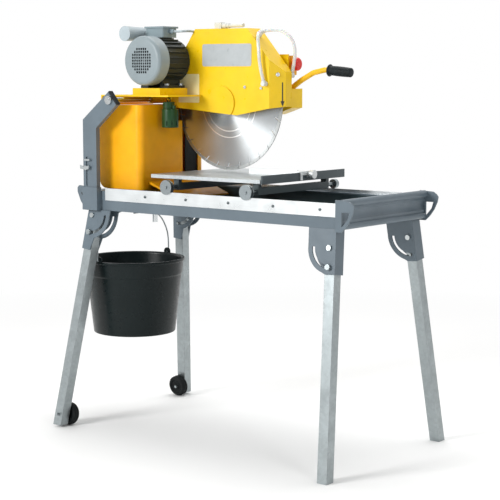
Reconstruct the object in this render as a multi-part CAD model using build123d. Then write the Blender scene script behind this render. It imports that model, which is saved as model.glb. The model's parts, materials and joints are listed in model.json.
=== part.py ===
"""Wet table saw for tiles and stone, on four folding legs.

Millimetres, +Z up. +X runs along the table towards the operator, +Y across it.
While it is being made, X = 0 is the left end of the runner strips less STRIP_LEFT,
Y = 0 is the middle of the table and Z = 0 the floor. At the end everything is moved
so that the origin is the middle of the floor space that the machine covers.
"""
import math
import os

from build123d import *

# ---- frame ---------------------------------------------------------------------------
HALF_WIDTH = 238.0          # middle of the table to the outer face of a runner strip
STRIP_LEFT = -400.0         # left end of the runner strips
STRIP_LENGTH = 947.0
STRIP_THICK = 4.0
STRIP_BOTTOM = 785.0
STRIP_TOP = 826.0           # the rollers run on this edge
RAIL_WIDTH = 30.0
RAIL_WALL = 3.0
RAIL_BOTTOM = 750.0
RAIL_TOP = 816.0
RAIL_LEFT = -487.0
RAIL_RIGHT = 553.0
SCREW_FIRST = 183.0         # strip's left end to its first screw
SCREW_STEP = 177.0
SCREW_COUNT = 5
SCREW_HEAD_R = 4.5
SCREW_SHANK_R = 2.5
CROSS_WIDTH = 40.0          # rear cross member, along X
LUG_THICK = 5.0
LUG_REACH = 62.0            # how far a carry lug stands past the end of its rail
LUG_GRIP = 17.0             # width of the bar round the hand hole

# ---- water pan and drain -------------------------------------------------------------
PAN_WALL = 2.0
PAN_FLOOR = 754.0
PAN_TOP = 812.0
DRAIN_X = -354.0
DRAIN_Y = -40.0
DRAIN_R = 9.5
DRAIN_BORE_R = 7.5
DRAIN_BOTTOM = 699.0

# ---- splash hood ---------------------------------------------------------------------
HOOD_LEFT = -470.0
HOOD_FRONT = -280.0
HOOD_NEAR = -190.0
HOOD_FAR = 138.0
HOOD_BOTTOM = 822.0
HOOD_TOP = 1105.0
HOOD_WALL = 4.0
HOOD_CORNER = 24.0
MOUTH_NEAR = 22.0           # the opening that the blade throws its water into
MOUTH_FAR = 104.0
MOUTH_TOP = 1050.0
FLAP_THICK = 4.0
FLAP_NEAR = 42.0
FLAP_LAP = 8.0              # how far the flap runs behind the hood's front wall
FLAP_TOP = 1044.0
NOTCH_DEPTH = 46.0          # gap in the hood's top for the guard
HOOD_FOOT_R = 28.0
FLAP_BOTTOM = 800.0

# ---- columns and height setting ------------------------------------------------------
COLUMN_LEFT = -487.0
COLUMN_WIDTH = 62.0
COLUMN_DEPTH = 18.0
COLUMN_WALL = 3.0
COLUMN_BOTTOM = 753.0
COLUMN_LIFT = 55.0          # travel of the height setting
COLUMN_BEND_OUT = 1055.0    # height of the bend on the outer edge
COLUMN_BEND_IN = 1028.0
POST_GAP = 0.6
POST_TOP = 1012.0
SLOT_X = -470.0
SLOT_WIDTH = 8.6
SLOT_LOW = 832.0
SLOT_HIGH = 930.0
CLAMP_Z = 893.0
STOP_PIN_Z = 920.0
CLAMP_R = 4.0
SLEEVE_TOP = 828.0
SLEEVE_WALL = 3.0
SLEEVE_GAP = 0.5

# ---- swing head ----------------------------------------------------------------------
PIVOT_X = -362.0
PIVOT_Z = 1122.0
PIVOT_R = 8.5
RUNNING_GAP = 0.05
FIT_GAP = 0.05              # bolts and sleeves in the holes that hold them
BLADE_X = -80.0
BLADE_Y = 33.0
BLADE_Z = 1112.0
BLADE_R = 225.0
BLADE_THICK = 3.0
BLADE_SEGMENTS = 28
SEGMENT_DEPTH = 10.0
GULLET_DEPTH = 24.0
GULLET_WIDTH = 3.0
SPINDLE_R = 12.5
FLANGE_R = 42.0
FLANGE_THICK = 9.0
PULLEY_WIDTH = 20.0
PULLEY_LIP = 5.0
DRIVEN_GROOVE_R = 42.0
DRIVE_GROOVE_R = 34.0
LIP_HEIGHT = 8.0
BELT_THICK = 7.0
BELT_GAP = 0.3
ARM_PLATE_Y = 76.0
ARM_PLATE = 6.0
ARM_DEPTH = 58.0
COVER_WALL = 3.0
BASE_Z = 1133.0             # underside of the plate that the motor stands on
BASE_THICK = 5.0

# ---- motor ---------------------------------------------------------------------------
MOTOR_X = -286.0
MOTOR_Z = 1252.0
MOTOR_NEAR = -176.0         # face of the fan cover
MOTOR_FAR = -12.0
FAN_COVER_R = 82.0
FAN_COVER_LENGTH = 50.0
MOTOR_BODY_R = 71.0
MOTOR_FIN = 6.0
FIN_COUNT = 24
MOTOR_SHAFT_R = 9.5
FAN_R = 70.0

# ---- pump ----------------------------------------------------------------------------
PUMP_X = -241.0
PUMP_Y = -91.0
HOOK_Z = 1123.5

# ---- stop button ---------------------------------------------------------------------
BUTTON_Z = 1240.0
BUTTON_STEM_R = 6.0
BUTTON_TRAVEL = 4.0
MOTOR_PLATE_RIGHT = 66.0    # motor axis to the plate's right edge, past the feet

# ---- blade guard ---------------------------------------------------------------------
GUARD_NEAR = -7.0
GUARD_FAR = 69.0
GUARD_WALL = 3.0
GUARD_HOLE_R = 34.0

# ---- carriage ------------------------------------------------------------------------
TABLE_LEFT = -217.0
TABLE_RIGHT = 240.0
TABLE_BOTTOM = 868.0
TABLE_TOP = 880.0
TABLE_HALF = 208.0
TABLE_SHEET = 4.0
BLADE_SLOT = 12.0
ROLLER_LEFT_X = -122.0
ROLLER_RIGHT_X = 209.0
ROLLER_RUN_R = 15.6
ROLLER_FLANGE_R = 24.0
ROLLER_WIDTH = 15.0
ROLLER_GAP = 0.3
AXLE_R = 6.0
BEAM_SIZE = 22.0
FENCE_THICK = 6.0
FENCE_BOTTOM = 866.0
FENCE_TOP = 893.0
FENCE_NEAR = -204.0
FENCE_FAR = 244.0
STOP_Y = -12.0
STOP_LENGTH = 200.0
STOP_HEIGHT = 21.0
STOP_THICK = 4.0

# ---- legs ----------------------------------------------------------------------------
LEG_SIZE = 35.0
LEG_WALL = 3.0
LEG_SPLAY = 8.4             # outward, degrees
RIGHT_LEAN = 3.8            # along the table, degrees
LEFT_LEAN = 6.6
RIGHT_PIVOT_X = 529.0
RIGHT_PIVOT_Z = 690.0
LEFT_PIVOT_X = -458.0
LEFT_PIVOT_Z = 728.0
PIVOT_Y = 219.0
BRACKET_WALL = 4.0
BRACKET_GAP = 0.6
BRACKET_DROP = 80.0         # right pivot to the bracket's lower edge
QUADRANT_R = 78.0
LOCK_R = 4.5
LOCK_ARC = 58.0             # radius on which the lock bolt travels
PIVOT_BOLT_R = 5.0
AXLE_BOLT_R = 5.0
FOOT_HEIGHT = 9.0
WHEEL_R = 38.0
WHEEL_WIDTH = 28.0
WHEEL_EDGE = 6.0
WHEEL_GAP = 3.0
LEFT_FOOT_CLEAR = 8.0       # the wheels stand on the floor, the feet beside them do not

# ---- bucket --------------------------------------------------------------------------
BUCKET_X = -466.0
BUCKET_Y = -28.0
BUCKET_RIM_Z = 566.0
BUCKET_HEIGHT = 262.0
BUCKET_TOP_R = 172.0
BUCKET_BASE_R = 144.0
BUCKET_WALL = 3.0
RIM_LIP = 7.0
BAIL_R = 2.5
BAIL_SPAN_R = 183.0
BAIL_TOP_Z = 737.0
HOOK_R = 5.0

# ---- derived -------------------------------------------------------------------------
STRIP_RIGHT = STRIP_LEFT + STRIP_LENGTH
RAIL_OUT = HALF_WIDTH - STRIP_THICK
RAIL_IN = RAIL_OUT - RAIL_WIDTH
CROSS_RIGHT = RAIL_LEFT + CROSS_WIDTH
COLUMN_RIGHT = COLUMN_LEFT + COLUMN_WIDTH
ROLLER_Z = STRIP_TOP + ROLLER_RUN_R + ROLLER_GAP
PULLEY_Y = ARM_PLATE_Y + ARM_PLATE + 18.0
BRACKET_IN = LEG_SIZE / 2 + BRACKET_GAP
NEAR, FAR = -1, 1


def block(x0, x1, y0, y1, z0, z1):
    """A box between two corners."""
    size = Box(abs(x1 - x0), abs(y1 - y0), abs(z1 - z0))
    return Pos((x0 + x1) / 2, (y0 + y1) / 2, (z0 + z1) / 2) * size


def rod_y(x, z, y0, y1, r):
    """A cylinder along Y."""
    return Pos(x, (y0 + y1) / 2, z) * Rot(90, 0, 0) * Cylinder(r, abs(y1 - y0))


def rod_x(y, z, x0, x1, r):
    """A cylinder along X."""
    return Pos((x0 + x1) / 2, y, z) * Rot(0, 90, 0) * Cylinder(r, abs(x1 - x0))


def rod_z(x, y, z0, z1, r):
    """A cylinder along Z."""
    return Pos(x, y, (z0 + z1) / 2) * Cylinder(r, abs(z1 - z0))


def ring_y(x, z, y0, y1, outer, inner):
    """A tube along Y."""
    return rod_y(x, z, y0, y1, outer) - rod_y(x, z, y0 - 1, y1 + 1, inner)


def slab(points, y0, y1):
    """A flat outline of (x, z) points, carried from y0 to y1."""
    outline = Polyline(*[(x, y0, z) for x, z in points], close=True)
    return extrude(make_face(outline), amount=y1 - y0, dir=(0, 1, 0))


def arc_points(cx, cz, r, start, end, steps):
    """Points on an arc, angles in degrees from +X towards +Z."""
    turns = [math.radians(start + (end - start) * i / steps) for i in range(steps + 1)]
    return [(cx + r * math.cos(t), cz + r * math.sin(t)) for t in turns]


def inset(points, distances):
    """A polygon whose sides are moved inwards; sides run from point i to i + 1, clockwise."""
    lines = []
    for i, (x0, z0) in enumerate(points):
        x1, z1 = points[(i + 1) % len(points)]
        length = math.hypot(x1 - x0, z1 - z0)
        nx, nz = (z1 - z0) / length, -(x1 - x0) / length
        lines.append((nx, nz, nx * x0 + nz * z0 + distances[i]))
    corners = []
    for i, (a2, b2, c2) in enumerate(lines):
        a1, b1, c1 = lines[i - 1]
        det = a1 * b2 - a2 * b1
        corners.append(((c1 * b2 - c2 * b1) / det, (a1 * c2 - a2 * c1) / det))
    return corners


def tube_path(points, radius):
    """A round tube along straight runs joined by tangent arcs, each as large as its runs allow."""
    radii = []
    for a, b, c in zip(points, points[1:], points[2:]):
        first, second = Vector(*b) - Vector(*a), Vector(*c) - Vector(*b)
        half_turn = math.radians(first.get_angle(second)) / 2
        radii.append(0.45 * min(first.length, second.length) / math.tan(half_turn))
    print("bend radii", [round(r, 1) for r in radii])
    path = FilletPolyline(*points, radius=radii)
    profile = Plane(origin=path @ 0, z_dir=path % 0) * Circle(radius)
    return sweep(profile, path=path)


def group(parts):
    """Several solids in one node."""
    solids = [s for p in parts for s in p.solids()]
    return Compound(children=solids)


def both_sides(shape):
    """A piece and its mirror image on the other side of the table."""
    return [shape, mirror(shape, about=Plane.XZ)]


# ---- the frame -----------------------------------------------------------------------
def side_rails():
    """Two box rails that carry everything."""
    outer = block(RAIL_LEFT, RAIL_RIGHT, -RAIL_OUT, -RAIL_IN, RAIL_BOTTOM, RAIL_TOP)
    hollow = block(RAIL_LEFT - 1, RAIL_RIGHT + 1, -RAIL_OUT + RAIL_WALL, -RAIL_IN - RAIL_WALL,
                   RAIL_BOTTOM + RAIL_WALL, RAIL_TOP - RAIL_WALL)
    rail = outer - hollow
    for x in screw_places():
        rail -= rod_y(x, (STRIP_BOTTOM + STRIP_TOP) / 2, -RAIL_OUT - 1, -RAIL_OUT + 4, SCREW_SHANK_R + FIT_GAP)
    return group(both_sides(rail))


def screw_places():
    """X of each runner screw."""
    return [STRIP_LEFT + SCREW_FIRST + SCREW_STEP * i for i in range(SCREW_COUNT)]


def runner_strips():
    """Bright strips screwed to the rails; their top edges are the track."""
    strip = block(STRIP_LEFT, STRIP_RIGHT, -HALF_WIDTH, -RAIL_OUT, STRIP_BOTTOM, STRIP_TOP)
    for x in screw_places():
        strip -= rod_y(x, (STRIP_BOTTOM + STRIP_TOP) / 2, -HALF_WIDTH - 1, -RAIL_OUT + 1,
                       SCREW_SHANK_R + FIT_GAP)
    return group(both_sides(strip))


def runner_screws():
    """Button-head screws through strip and rail wall."""
    z = (STRIP_BOTTOM + STRIP_TOP) / 2
    screws = []
    for x in screw_places():
        head = rod_y(x, z, -HALF_WIDTH - 3, -HALF_WIDTH, SCREW_HEAD_R)
        head = fillet(head.faces().sort_by(Axis.Y)[0].edges(), 1.8)
        head -= rod_y(x, z, -HALF_WIDTH - 4, -HALF_WIDTH - 1.6, 1.5)
        screws += both_sides(head + rod_y(x, z, -HALF_WIDTH, -RAIL_OUT + RAIL_WALL, SCREW_SHANK_R))
    return group(screws)


def rear_cross_member():
    """Box tube between the rails at the column end."""
    outer = block(RAIL_LEFT, CROSS_RIGHT, -RAIL_IN, RAIL_IN, RAIL_BOTTOM, RAIL_TOP)
    return outer - block(RAIL_LEFT + RAIL_WALL, CROSS_RIGHT - RAIL_WALL, -RAIL_IN - 1, RAIL_IN + 1,
                         RAIL_BOTTOM + RAIL_WALL, RAIL_TOP - RAIL_WALL)


def end_trough():
    """Hollow-fronted end member with rounded lips, between the right-hand carry lugs."""
    section = Pos(RAIL_RIGHT + 6, 791) * Rectangle(12, 78)
    section += Pos(RAIL_RIGHT + 12, 826) * Circle(12)
    section += Pos(RAIL_RIGHT + 10, 757) * Circle(10)
    section -= Pos(RAIL_RIGHT + 31, 791) * Circle(25)
    return Pos(0, RAIL_OUT, 0) * extrude(Plane.XZ * section, amount=2 * RAIL_OUT)


def carry_lugs():
    """Loop-shaped plates at the four corners, to lift the machine by."""
    top, low = STRIP_TOP, RAIL_BOTTOM - 9
    reach = RAIL_RIGHT + LUG_REACH
    outer = [(RAIL_RIGHT - 6, top + 11), (RAIL_RIGHT + 44, top + 8), (reach - 6, top), (reach, top - 8)]
    outer += [(reach - 3, top - 24), (reach - 14, top - 48), (reach - 30, top - 70), (reach - 46, low)]
    outer += [(RAIL_RIGHT - 6, low)]
    hole = [(RAIL_RIGHT + 17, top - 25), (reach - LUG_GRIP, top - 25), (reach - LUG_GRIP - 6, top - 45),
            (reach - LUG_GRIP - 24, top - 66), (RAIL_RIGHT + 17, top - 67)]
    y0 = -RAIL_OUT - LUG_THICK
    right = slab(outer, y0, -RAIL_OUT)
    right -= slab(hole, y0 - 1, -RAIL_OUT + 1)
    right -= block(RAIL_RIGHT - 7, STRIP_RIGHT + 0.5, y0 - 1, -RAIL_OUT + 1, STRIP_BOTTOM - 1, STRIP_TOP + 1)
    left_out = [(RAIL_LEFT + 8, top), (RAIL_LEFT - 40, top + 4), (RAIL_LEFT - 48, top - 4),
                (RAIL_LEFT - 48, top - 18), (RAIL_LEFT - 33, top - 50), (RAIL_LEFT - 8, top - 79),
                (RAIL_LEFT + 8, top - 79)]
    left_hole = [(RAIL_LEFT - 31, top - 20), (RAIL_LEFT - 9, top - 20), (RAIL_LEFT - 9, top - 56),
                 (RAIL_LEFT - 19, top - 44)]
    y1 = -RAIL_OUT + LUG_THICK
    left = slab(left_out, -RAIL_OUT, y1) - slab(left_hole, -RAIL_OUT - 1, y1 + 1)
    left -= block(RAIL_LEFT, RAIL_LEFT + 20, -RAIL_OUT - 1, y1 + 1, RAIL_BOTTOM - 20, RAIL_TOP + 20)
    return group(both_sides(right) + both_sides(left))


def water_pan():
    """Open tray between the rails that holds the cooling water."""
    outer = block(CROSS_RIGHT, RAIL_RIGHT, -RAIL_IN, RAIL_IN, PAN_FLOOR - PAN_WALL, PAN_TOP)
    pan = outer - block(CROSS_RIGHT + PAN_WALL, RAIL_RIGHT - PAN_WALL, -RAIL_IN + PAN_WALL,
                        RAIL_IN - PAN_WALL, PAN_FLOOR, PAN_TOP + 1)
    return pan - rod_z(DRAIN_X, DRAIN_Y, PAN_FLOOR - PAN_WALL - 1, PAN_FLOOR + 1, DRAIN_R + FIT_GAP)


def drain_pipe():
    """Chromed stub, flanged inside the pan, that empties into the bucket."""
    pipe = rod_z(DRAIN_X, DRAIN_Y, DRAIN_BOTTOM, PAN_FLOOR, DRAIN_R)
    pipe += rod_z(DRAIN_X, DRAIN_Y, PAN_FLOOR, PAN_FLOOR + 2, DRAIN_R + 6)
    pipe += rod_z(DRAIN_X, DRAIN_Y, PAN_FLOOR - PAN_WALL - 6, PAN_FLOOR - PAN_WALL, DRAIN_R + 3)
    return pipe - rod_z(DRAIN_X, DRAIN_Y, DRAIN_BOTTOM - 1, PAN_FLOOR + 3, DRAIN_BORE_R)


# ---- hood ----------------------------------------------------------------------------
def splash_hood():
    """Moulded catcher behind the blade: open below, with a mouth for the spray and a notch for the guard."""
    left, foot_r, wall = HOOD_LEFT, HOOD_FOOT_R, HOOD_WALL
    outline = arc_points(left + foot_r, HOOD_BOTTOM + foot_r, foot_r, 270, 180, 6)
    outline += [(left, HOOD_TOP - 75), (left + 94, HOOD_TOP), (HOOD_FRONT, HOOD_TOP), (HOOD_FRONT, HOOD_BOTTOM)]
    shell = slab(outline, HOOD_NEAR, HOOD_FAR)
    upright = shell.edges().filter_by(Axis.Z)
    shell = fillet(upright.filter_by_position(Axis.X, HOOD_FRONT - 1, HOOD_FRONT + 1), HOOD_CORNER)
    inner = inset(outline, [wall] * 6 + [wall] * 4 + [-10])
    hollow = slab(inner, HOOD_NEAR + wall, HOOD_FAR - wall)
    front_edges = hollow.edges().filter_by(Axis.Z).filter_by_position(Axis.X, HOOD_FRONT - wall - 1, HOOD_FRONT)
    shell -= fillet(front_edges, HOOD_CORNER - wall)
    shell -= block(HOOD_FRONT - wall - 30, HOOD_FRONT + 1, MOUTH_NEAR, MOUTH_FAR, HOOD_BOTTOM - 1, MOUTH_TOP)
    shell -= block(HOOD_FRONT - NOTCH_DEPTH, HOOD_FRONT + 1, GUARD_NEAR - 5, MOUTH_FAR, MOUTH_TOP - 1, HOOD_TOP + 1)
    tail = block(CROSS_RIGHT + PAN_WALL, CROSS_RIGHT + PAN_WALL + wall, HOOD_NEAR + 10, HOOD_FAR - 10,
                 RAIL_BOTTOM + 16, HOOD_BOTTOM + wall)
    skirt_line = [(HOOD_FRONT - wall, 850), (HOOD_FRONT, 850), (HOOD_FRONT + 130, 800),
                  (HOOD_FRONT + 130, 796), (HOOD_FRONT - wall, 842)]
    skirt = slab(skirt_line, HOOD_NEAR + 40, HOOD_FAR - HOOD_CORNER)
    return shell + tail + skirt


def rubber_flap():
    """Hanging curtain on the far side of the blade, held behind the edge of the hood's mouth."""
    x1 = HOOD_FRONT - HOOD_WALL
    return block(x1 - FLAP_THICK, x1, FLAP_NEAR, MOUTH_FAR + FLAP_LAP, FLAP_BOTTOM, FLAP_TOP)


# ---- columns -------------------------------------------------------------------------
def column_posts():
    """Fixed inner posts that the columns slide on."""
    x0 = COLUMN_LEFT + COLUMN_WALL + POST_GAP
    x1 = COLUMN_RIGHT - COLUMN_WALL - POST_GAP
    y0 = -RAIL_OUT - COLUMN_DEPTH + COLUMN_WALL + POST_GAP
    post = block(x0, x1, y0, -RAIL_OUT, RAIL_BOTTOM + 2, POST_TOP)
    post -= block(x0 + 3, x1 - 3, y0 + 3, -RAIL_OUT - 3, RAIL_BOTTOM, POST_TOP + 1)
    for z, r in ((CLAMP_Z, CLAMP_R), (STOP_PIN_Z, CLAMP_R - 1)):
        post -= rod_y(SLOT_X, z, y0 - 1, y0 + 4, r + FIT_GAP)
    return group(both_sides(post))


def column_sleeves():
    """Straps on the rails that the lower ends of the columns slide through."""
    x0 = COLUMN_LEFT - SLEEVE_GAP - SLEEVE_WALL
    x1 = COLUMN_RIGHT + SLEEVE_GAP + SLEEVE_WALL
    y0 = -RAIL_OUT - COLUMN_DEPTH - SLEEVE_GAP - SLEEVE_WALL
    sleeve = block(x0, x1, y0, -RAIL_OUT, RAIL_BOTTOM, SLEEVE_TOP)
    sleeve -= block(COLUMN_LEFT - SLEEVE_GAP, COLUMN_RIGHT + SLEEVE_GAP, y0 + SLEEVE_WALL, -RAIL_OUT + 1,
                    RAIL_BOTTOM - 1, SLEEVE_TOP + 1)
    return group(both_sides(sleeve))


def column_outline():
    """Side view of a column, with its arm bent towards the table."""
    return [(COLUMN_LEFT, COLUMN_BOTTOM), (COLUMN_LEFT, COLUMN_BEND_OUT), (-367, 1149), (-331, 1106),
            (COLUMN_RIGHT, COLUMN_BEND_IN), (COLUMN_RIGHT, COLUMN_BOTTOM)]


def columns():
    """Folded columns, open towards the table, that carry the pivot shaft."""
    outline = column_outline()
    y0 = -RAIL_OUT - COLUMN_DEPTH
    column = slab(outline, y0, -RAIL_OUT - 0.5)
    walls = [COLUMN_WALL, COLUMN_WALL, COLUMN_WALL, COLUMN_WALL, COLUMN_WALL, -2]
    column -= slab(inset(outline, walls), y0 + COLUMN_WALL, -RAIL_OUT + 1)
    slot = block(SLOT_X - SLOT_WIDTH / 2, SLOT_X + SLOT_WIDTH / 2, y0 - 1, y0 + COLUMN_WALL + 1, SLOT_LOW,
                 SLOT_HIGH)
    column -= slot
    boss = rod_y(PIVOT_X, PIVOT_Z, y0 + COLUMN_WALL, -RAIL_OUT - 0.5, PIVOT_R + 5)
    column += boss
    column -= rod_y(PIVOT_X, PIVOT_Z, y0 - 1, -RAIL_OUT + 1, PIVOT_R + FIT_GAP)
    return group(both_sides(column))


def column_caps():
    """Black plugs in the open ends of the column arms."""
    y0 = -RAIL_OUT - COLUMN_DEPTH
    a, b = (-367, 1149), (-331, 1106)
    length = math.hypot(b[0] - a[0], b[1] - a[1])
    out = ((a[1] - b[1]) / length, (b[0] - a[0]) / length)
    shift = 5.0
    face = [a, (a[0] + out[0] * shift, a[1] + out[1] * shift), (b[0] + out[0] * shift, b[1] + out[1] * shift), b]
    cap = slab(face, y0, -RAIL_OUT - 0.5)
    return group(both_sides(cap))


def pivot_shaft():
    """Bright shaft between the columns, with a collar outside each and one beside the head."""
    end = RAIL_OUT + COLUMN_DEPTH + 9
    shaft = rod_y(PIVOT_X, PIVOT_Z, -end, end, PIVOT_R)
    places = ((-RAIL_OUT - COLUMN_DEPTH - 8, 6.0), (RAIL_OUT + COLUMN_DEPTH, 6.0), (-61.0, 2.2), (149.0, 6.0))
    collars = [ring_y(PIVOT_X, PIVOT_Z, y, y + 8, PIVOT_R + wall, PIVOT_R + FIT_GAP) for y, wall in places]
    return group([shaft] + collars)


def height_clamps():
    """Wing bolts and stop pins in the column slots, held in the posts."""
    y_post = -RAIL_OUT - COLUMN_DEPTH + COLUMN_WALL + POST_GAP
    y_face = -RAIL_OUT - COLUMN_DEPTH
    bolt = rod_y(SLOT_X, CLAMP_Z, y_face - 12, y_post + 3, CLAMP_R)
    bolt += rod_y(SLOT_X, CLAMP_Z, y_face - 9, y_face - 0.4, 8.0)
    wing = slab([(SLOT_X - 22, CLAMP_Z + 9), (SLOT_X - 20, CLAMP_Z - 4), (SLOT_X - 4, CLAMP_Z - 5),
                 (SLOT_X + 4, CLAMP_Z - 5), (SLOT_X + 18, CLAMP_Z - 4), (SLOT_X + 20, CLAMP_Z + 9),
                 (SLOT_X + 6, CLAMP_Z + 4), (SLOT_X - 6, CLAMP_Z + 4)], y_face - 12, y_face - 7)
    pin = rod_y(SLOT_X, STOP_PIN_Z, y_face - 7, y_post + 3, CLAMP_R - 1)
    pin += block(SLOT_X - 3, SLOT_X + 21, y_face - 10, y_face - 4, STOP_PIN_Z - 3, STOP_PIN_Z + 3)
    return group(both_sides(bolt + wing) + both_sides(pin))


# ---- swing head ----------------------------------------------------------------------
def head_arm():
    """Welded arm that swings on the shaft: sleeve, side plate, boxed end, motor base and bearing housing."""
    y0, y1 = ARM_PLATE_Y, ARM_PLATE_Y + ARM_PLATE
    reach = ARM_PLATE_Y + ARM_DEPTH
    outline = [(-378, 1112), (-378, 1138), (-330, 1150), (-250, 1162), (150, 1160), (150, 1097),
               (82, 1075), (-60, 1060), (-110, 1060), (-190, 1090), (-255, 1112)]
    arm = slab(outline, y0, y1)
    box_line = [(-20, 1160), (150, 1160), (150, 1097), (82, 1075), (-20, 1064)]
    box = slab(box_line, y1, reach)
    box -= slab(inset(box_line, [3, 3, 3, 3, -5]), y1 - 1, reach - 3)
    arm += box
    arm += slab([(84, 1150), (84, 1272), (134, 1272), (134, 1150)], y0, y1)
    arm += rod_y(PIVOT_X, PIVOT_Z, -52, y0 + 1, PIVOT_R + 5.5)
    arm += rod_y(PIVOT_X, PIVOT_Z, y0, 148, PIVOT_R + 5.5)
    left, right = PIVOT_X - 108, -165
    arm += block(left, right, -180, -13, BASE_Z, BASE_Z + BASE_THICK)
    arm += block(left, PIVOT_X + 30, -14, y0 + 1, BASE_Z, BASE_Z + BASE_THICK)
    arm += block(left, left + BASE_THICK, -180, y0 + 1, BASE_Z - 30, BASE_Z + 1)
    arm += rod_y(BLADE_X, BLADE_Z, y1 - 1, y1 + 12, 30)
    arm += rod_y(BLADE_X, BLADE_Z, GUARD_FAR + 0.5, y0 + 1, 30)
    arm += pump_hook()
    arm -= rod_y(PIVOT_X, PIVOT_Z, -60, 160, PIVOT_R + RUNNING_GAP)
    arm -= rod_y(BLADE_X, BLADE_Z, GUARD_FAR, y1 + 13, 24)
    arm -= rod_y(MOTOR_X, MOTOR_Z, y0 - 1, y1 + 1, MOTOR_SHAFT_R + 4)
    return arm


def spindle_bearings():
    """Two ball bearings in the housing on the arm."""
    first = GUARD_FAR + 1.0
    rings = [ring_y(BLADE_X, BLADE_Z, y, y + 10, 24 - FIT_GAP, SPINDLE_R + RUNNING_GAP) for y in (first, first + 13)]
    return group(rings)


def pulley(x, z, groove_r, bore_r):
    """Grooved pulley on a shaft."""
    y0, y1 = PULLEY_Y, PULLEY_Y + PULLEY_WIDTH
    wheel = rod_y(x, z, y0, y1, groove_r)
    for a, b in ((y0, y0 + PULLEY_LIP), (y1 - PULLEY_LIP, y1)):
        wheel += rod_y(x, z, a, b, groove_r + LIP_HEIGHT)
    return wheel - rod_y(x, z, y0 - 1, y1 + 1, bore_r + FIT_GAP)


def belt_loop(r_motor, r_blade):
    """Region round both pulleys, as an outline of arcs joined by straight runs."""
    dx, dz = BLADE_X - MOTOR_X, BLADE_Z - MOTOR_Z
    distance = math.hypot(dx, dz)
    along = math.degrees(math.atan2(dz, dx))
    tilt = math.degrees(math.acos((r_motor - r_blade) / distance))
    first = arc_points(BLADE_X, BLADE_Z, r_blade, along + tilt, along - tilt, 24)
    return first + arc_points(MOTOR_X, MOTOR_Z, r_motor, along - tilt, along + tilt - 360, 24)


def drive_belt():
    """Belt round both pulleys."""
    y0, y1 = PULLEY_Y + PULLEY_LIP + BELT_GAP, PULLEY_Y + PULLEY_WIDTH - PULLEY_LIP - BELT_GAP
    inner_m, inner_b = DRIVE_GROOVE_R + BELT_GAP + 0.2, DRIVEN_GROOVE_R + BELT_GAP + 0.2
    belt = slab(belt_loop(inner_m + BELT_THICK, inner_b + BELT_THICK), y0, y1)
    return belt - slab(belt_loop(inner_m, inner_b), y0 - 1, y1 + 1)


def belt_cover():
    """Shell over the belt on the far side of the arm."""
    y0, y1 = ARM_PLATE_Y + ARM_PLATE, ARM_PLATE_Y + ARM_DEPTH
    big_m, big_b = DRIVE_GROOVE_R + 22, DRIVEN_GROOVE_R + 17
    cover = slab(belt_loop(big_m, big_b), y0, y1)
    cover -= slab(belt_loop(big_m - COVER_WALL, big_b - COVER_WALL), y0 - 1, y1 - COVER_WALL)
    return cover


def motor_plate():
    """Raised yellow foot plate under the motor."""
    return block(MOTOR_X - 57, MOTOR_X + MOTOR_PLATE_RIGHT, MOTOR_NEAR + 18, MOTOR_FAR - 8, BASE_Z + BASE_THICK,
                 BASE_Z + BASE_THICK + 23)


def motor_housing():
    """Finned body with feet, between the fan cover and the drive-end shield."""
    y0, y1 = MOTOR_NEAR + FAN_COVER_LENGTH, MOTOR_FAR
    body = rod_y(MOTOR_X, MOTOR_Z, y0, y1, MOTOR_BODY_R)
    for i in range(FIN_COUNT):
        fin = block(MOTOR_BODY_R - 2, MOTOR_BODY_R + MOTOR_FIN, y0 + 4, y1 - 12, -1.6, 1.6)
        body += Pos(MOTOR_X, 0, MOTOR_Z) * Rot(0, 360 / FIN_COUNT * (i + 0.5), 0) * fin
    foot_z = BASE_Z + BASE_THICK + 23
    for side in (-1, 1):
        leg = block(MOTOR_X + side * 26, MOTOR_X + side * 60, y0 + 12, y1 - 14, foot_z, foot_z + 9)
        leg += block(MOTOR_X + side * 26, MOTOR_X + side * 38, y0 + 12, y1 - 14, foot_z, MOTOR_Z - 52)
        body += leg
    body += block(MOTOR_X - 46, MOTOR_X + 4, MOTOR_FAR - 66, MOTOR_FAR - 14, MOTOR_Z + 50, MOTOR_Z + 78)
    body += rod_y(MOTOR_X, MOTOR_Z, y0 - 8, y0 + 4, FAN_COVER_R - 2.5 - FIT_GAP)
    body += rod_y(MOTOR_X, MOTOR_Z, y1 - 1, y1 + 5, 34)
    hollow = rod_y(MOTOR_X, MOTOR_Z, y0 + 8, y1 - 8, MOTOR_BODY_R - 8)
    return body - hollow - rod_y(MOTOR_X, MOTOR_Z, y0 - 9, y1 + 6, MOTOR_SHAFT_R + RUNNING_GAP)


def motor_shaft():
    """Rotor with its shaft, from the fan to the drive pulley."""
    shaft = rod_y(MOTOR_X, MOTOR_Z, MOTOR_NEAR + 14, PULLEY_Y + PULLEY_WIDTH + 4, MOTOR_SHAFT_R)
    rotor = rod_y(MOTOR_X, MOTOR_Z, MOTOR_NEAR + FAN_COVER_LENGTH + 20, MOTOR_FAR - 20, 46)
    return shaft + rotor


def cooling_fan():
    """Radial fan on the rotor's near end."""
    y0 = MOTOR_NEAR + 16
    fan = rod_y(MOTOR_X, MOTOR_Z, y0, y0 + 20, 18) + rod_y(MOTOR_X, MOTOR_Z, y0 + 17, y0 + 20, FAN_R)
    for i in range(8):
        vane = block(12, FAN_R - 2, y0 + 2, y0 + 18, -1.2, 1.2)
        fan += Pos(MOTOR_X, 0, MOTOR_Z) * Rot(0, 45 * i, 0) * vane
    return fan - rod_y(MOTOR_X, MOTOR_Z, y0 - 1, y0 + 21, MOTOR_SHAFT_R + FIT_GAP)


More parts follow.
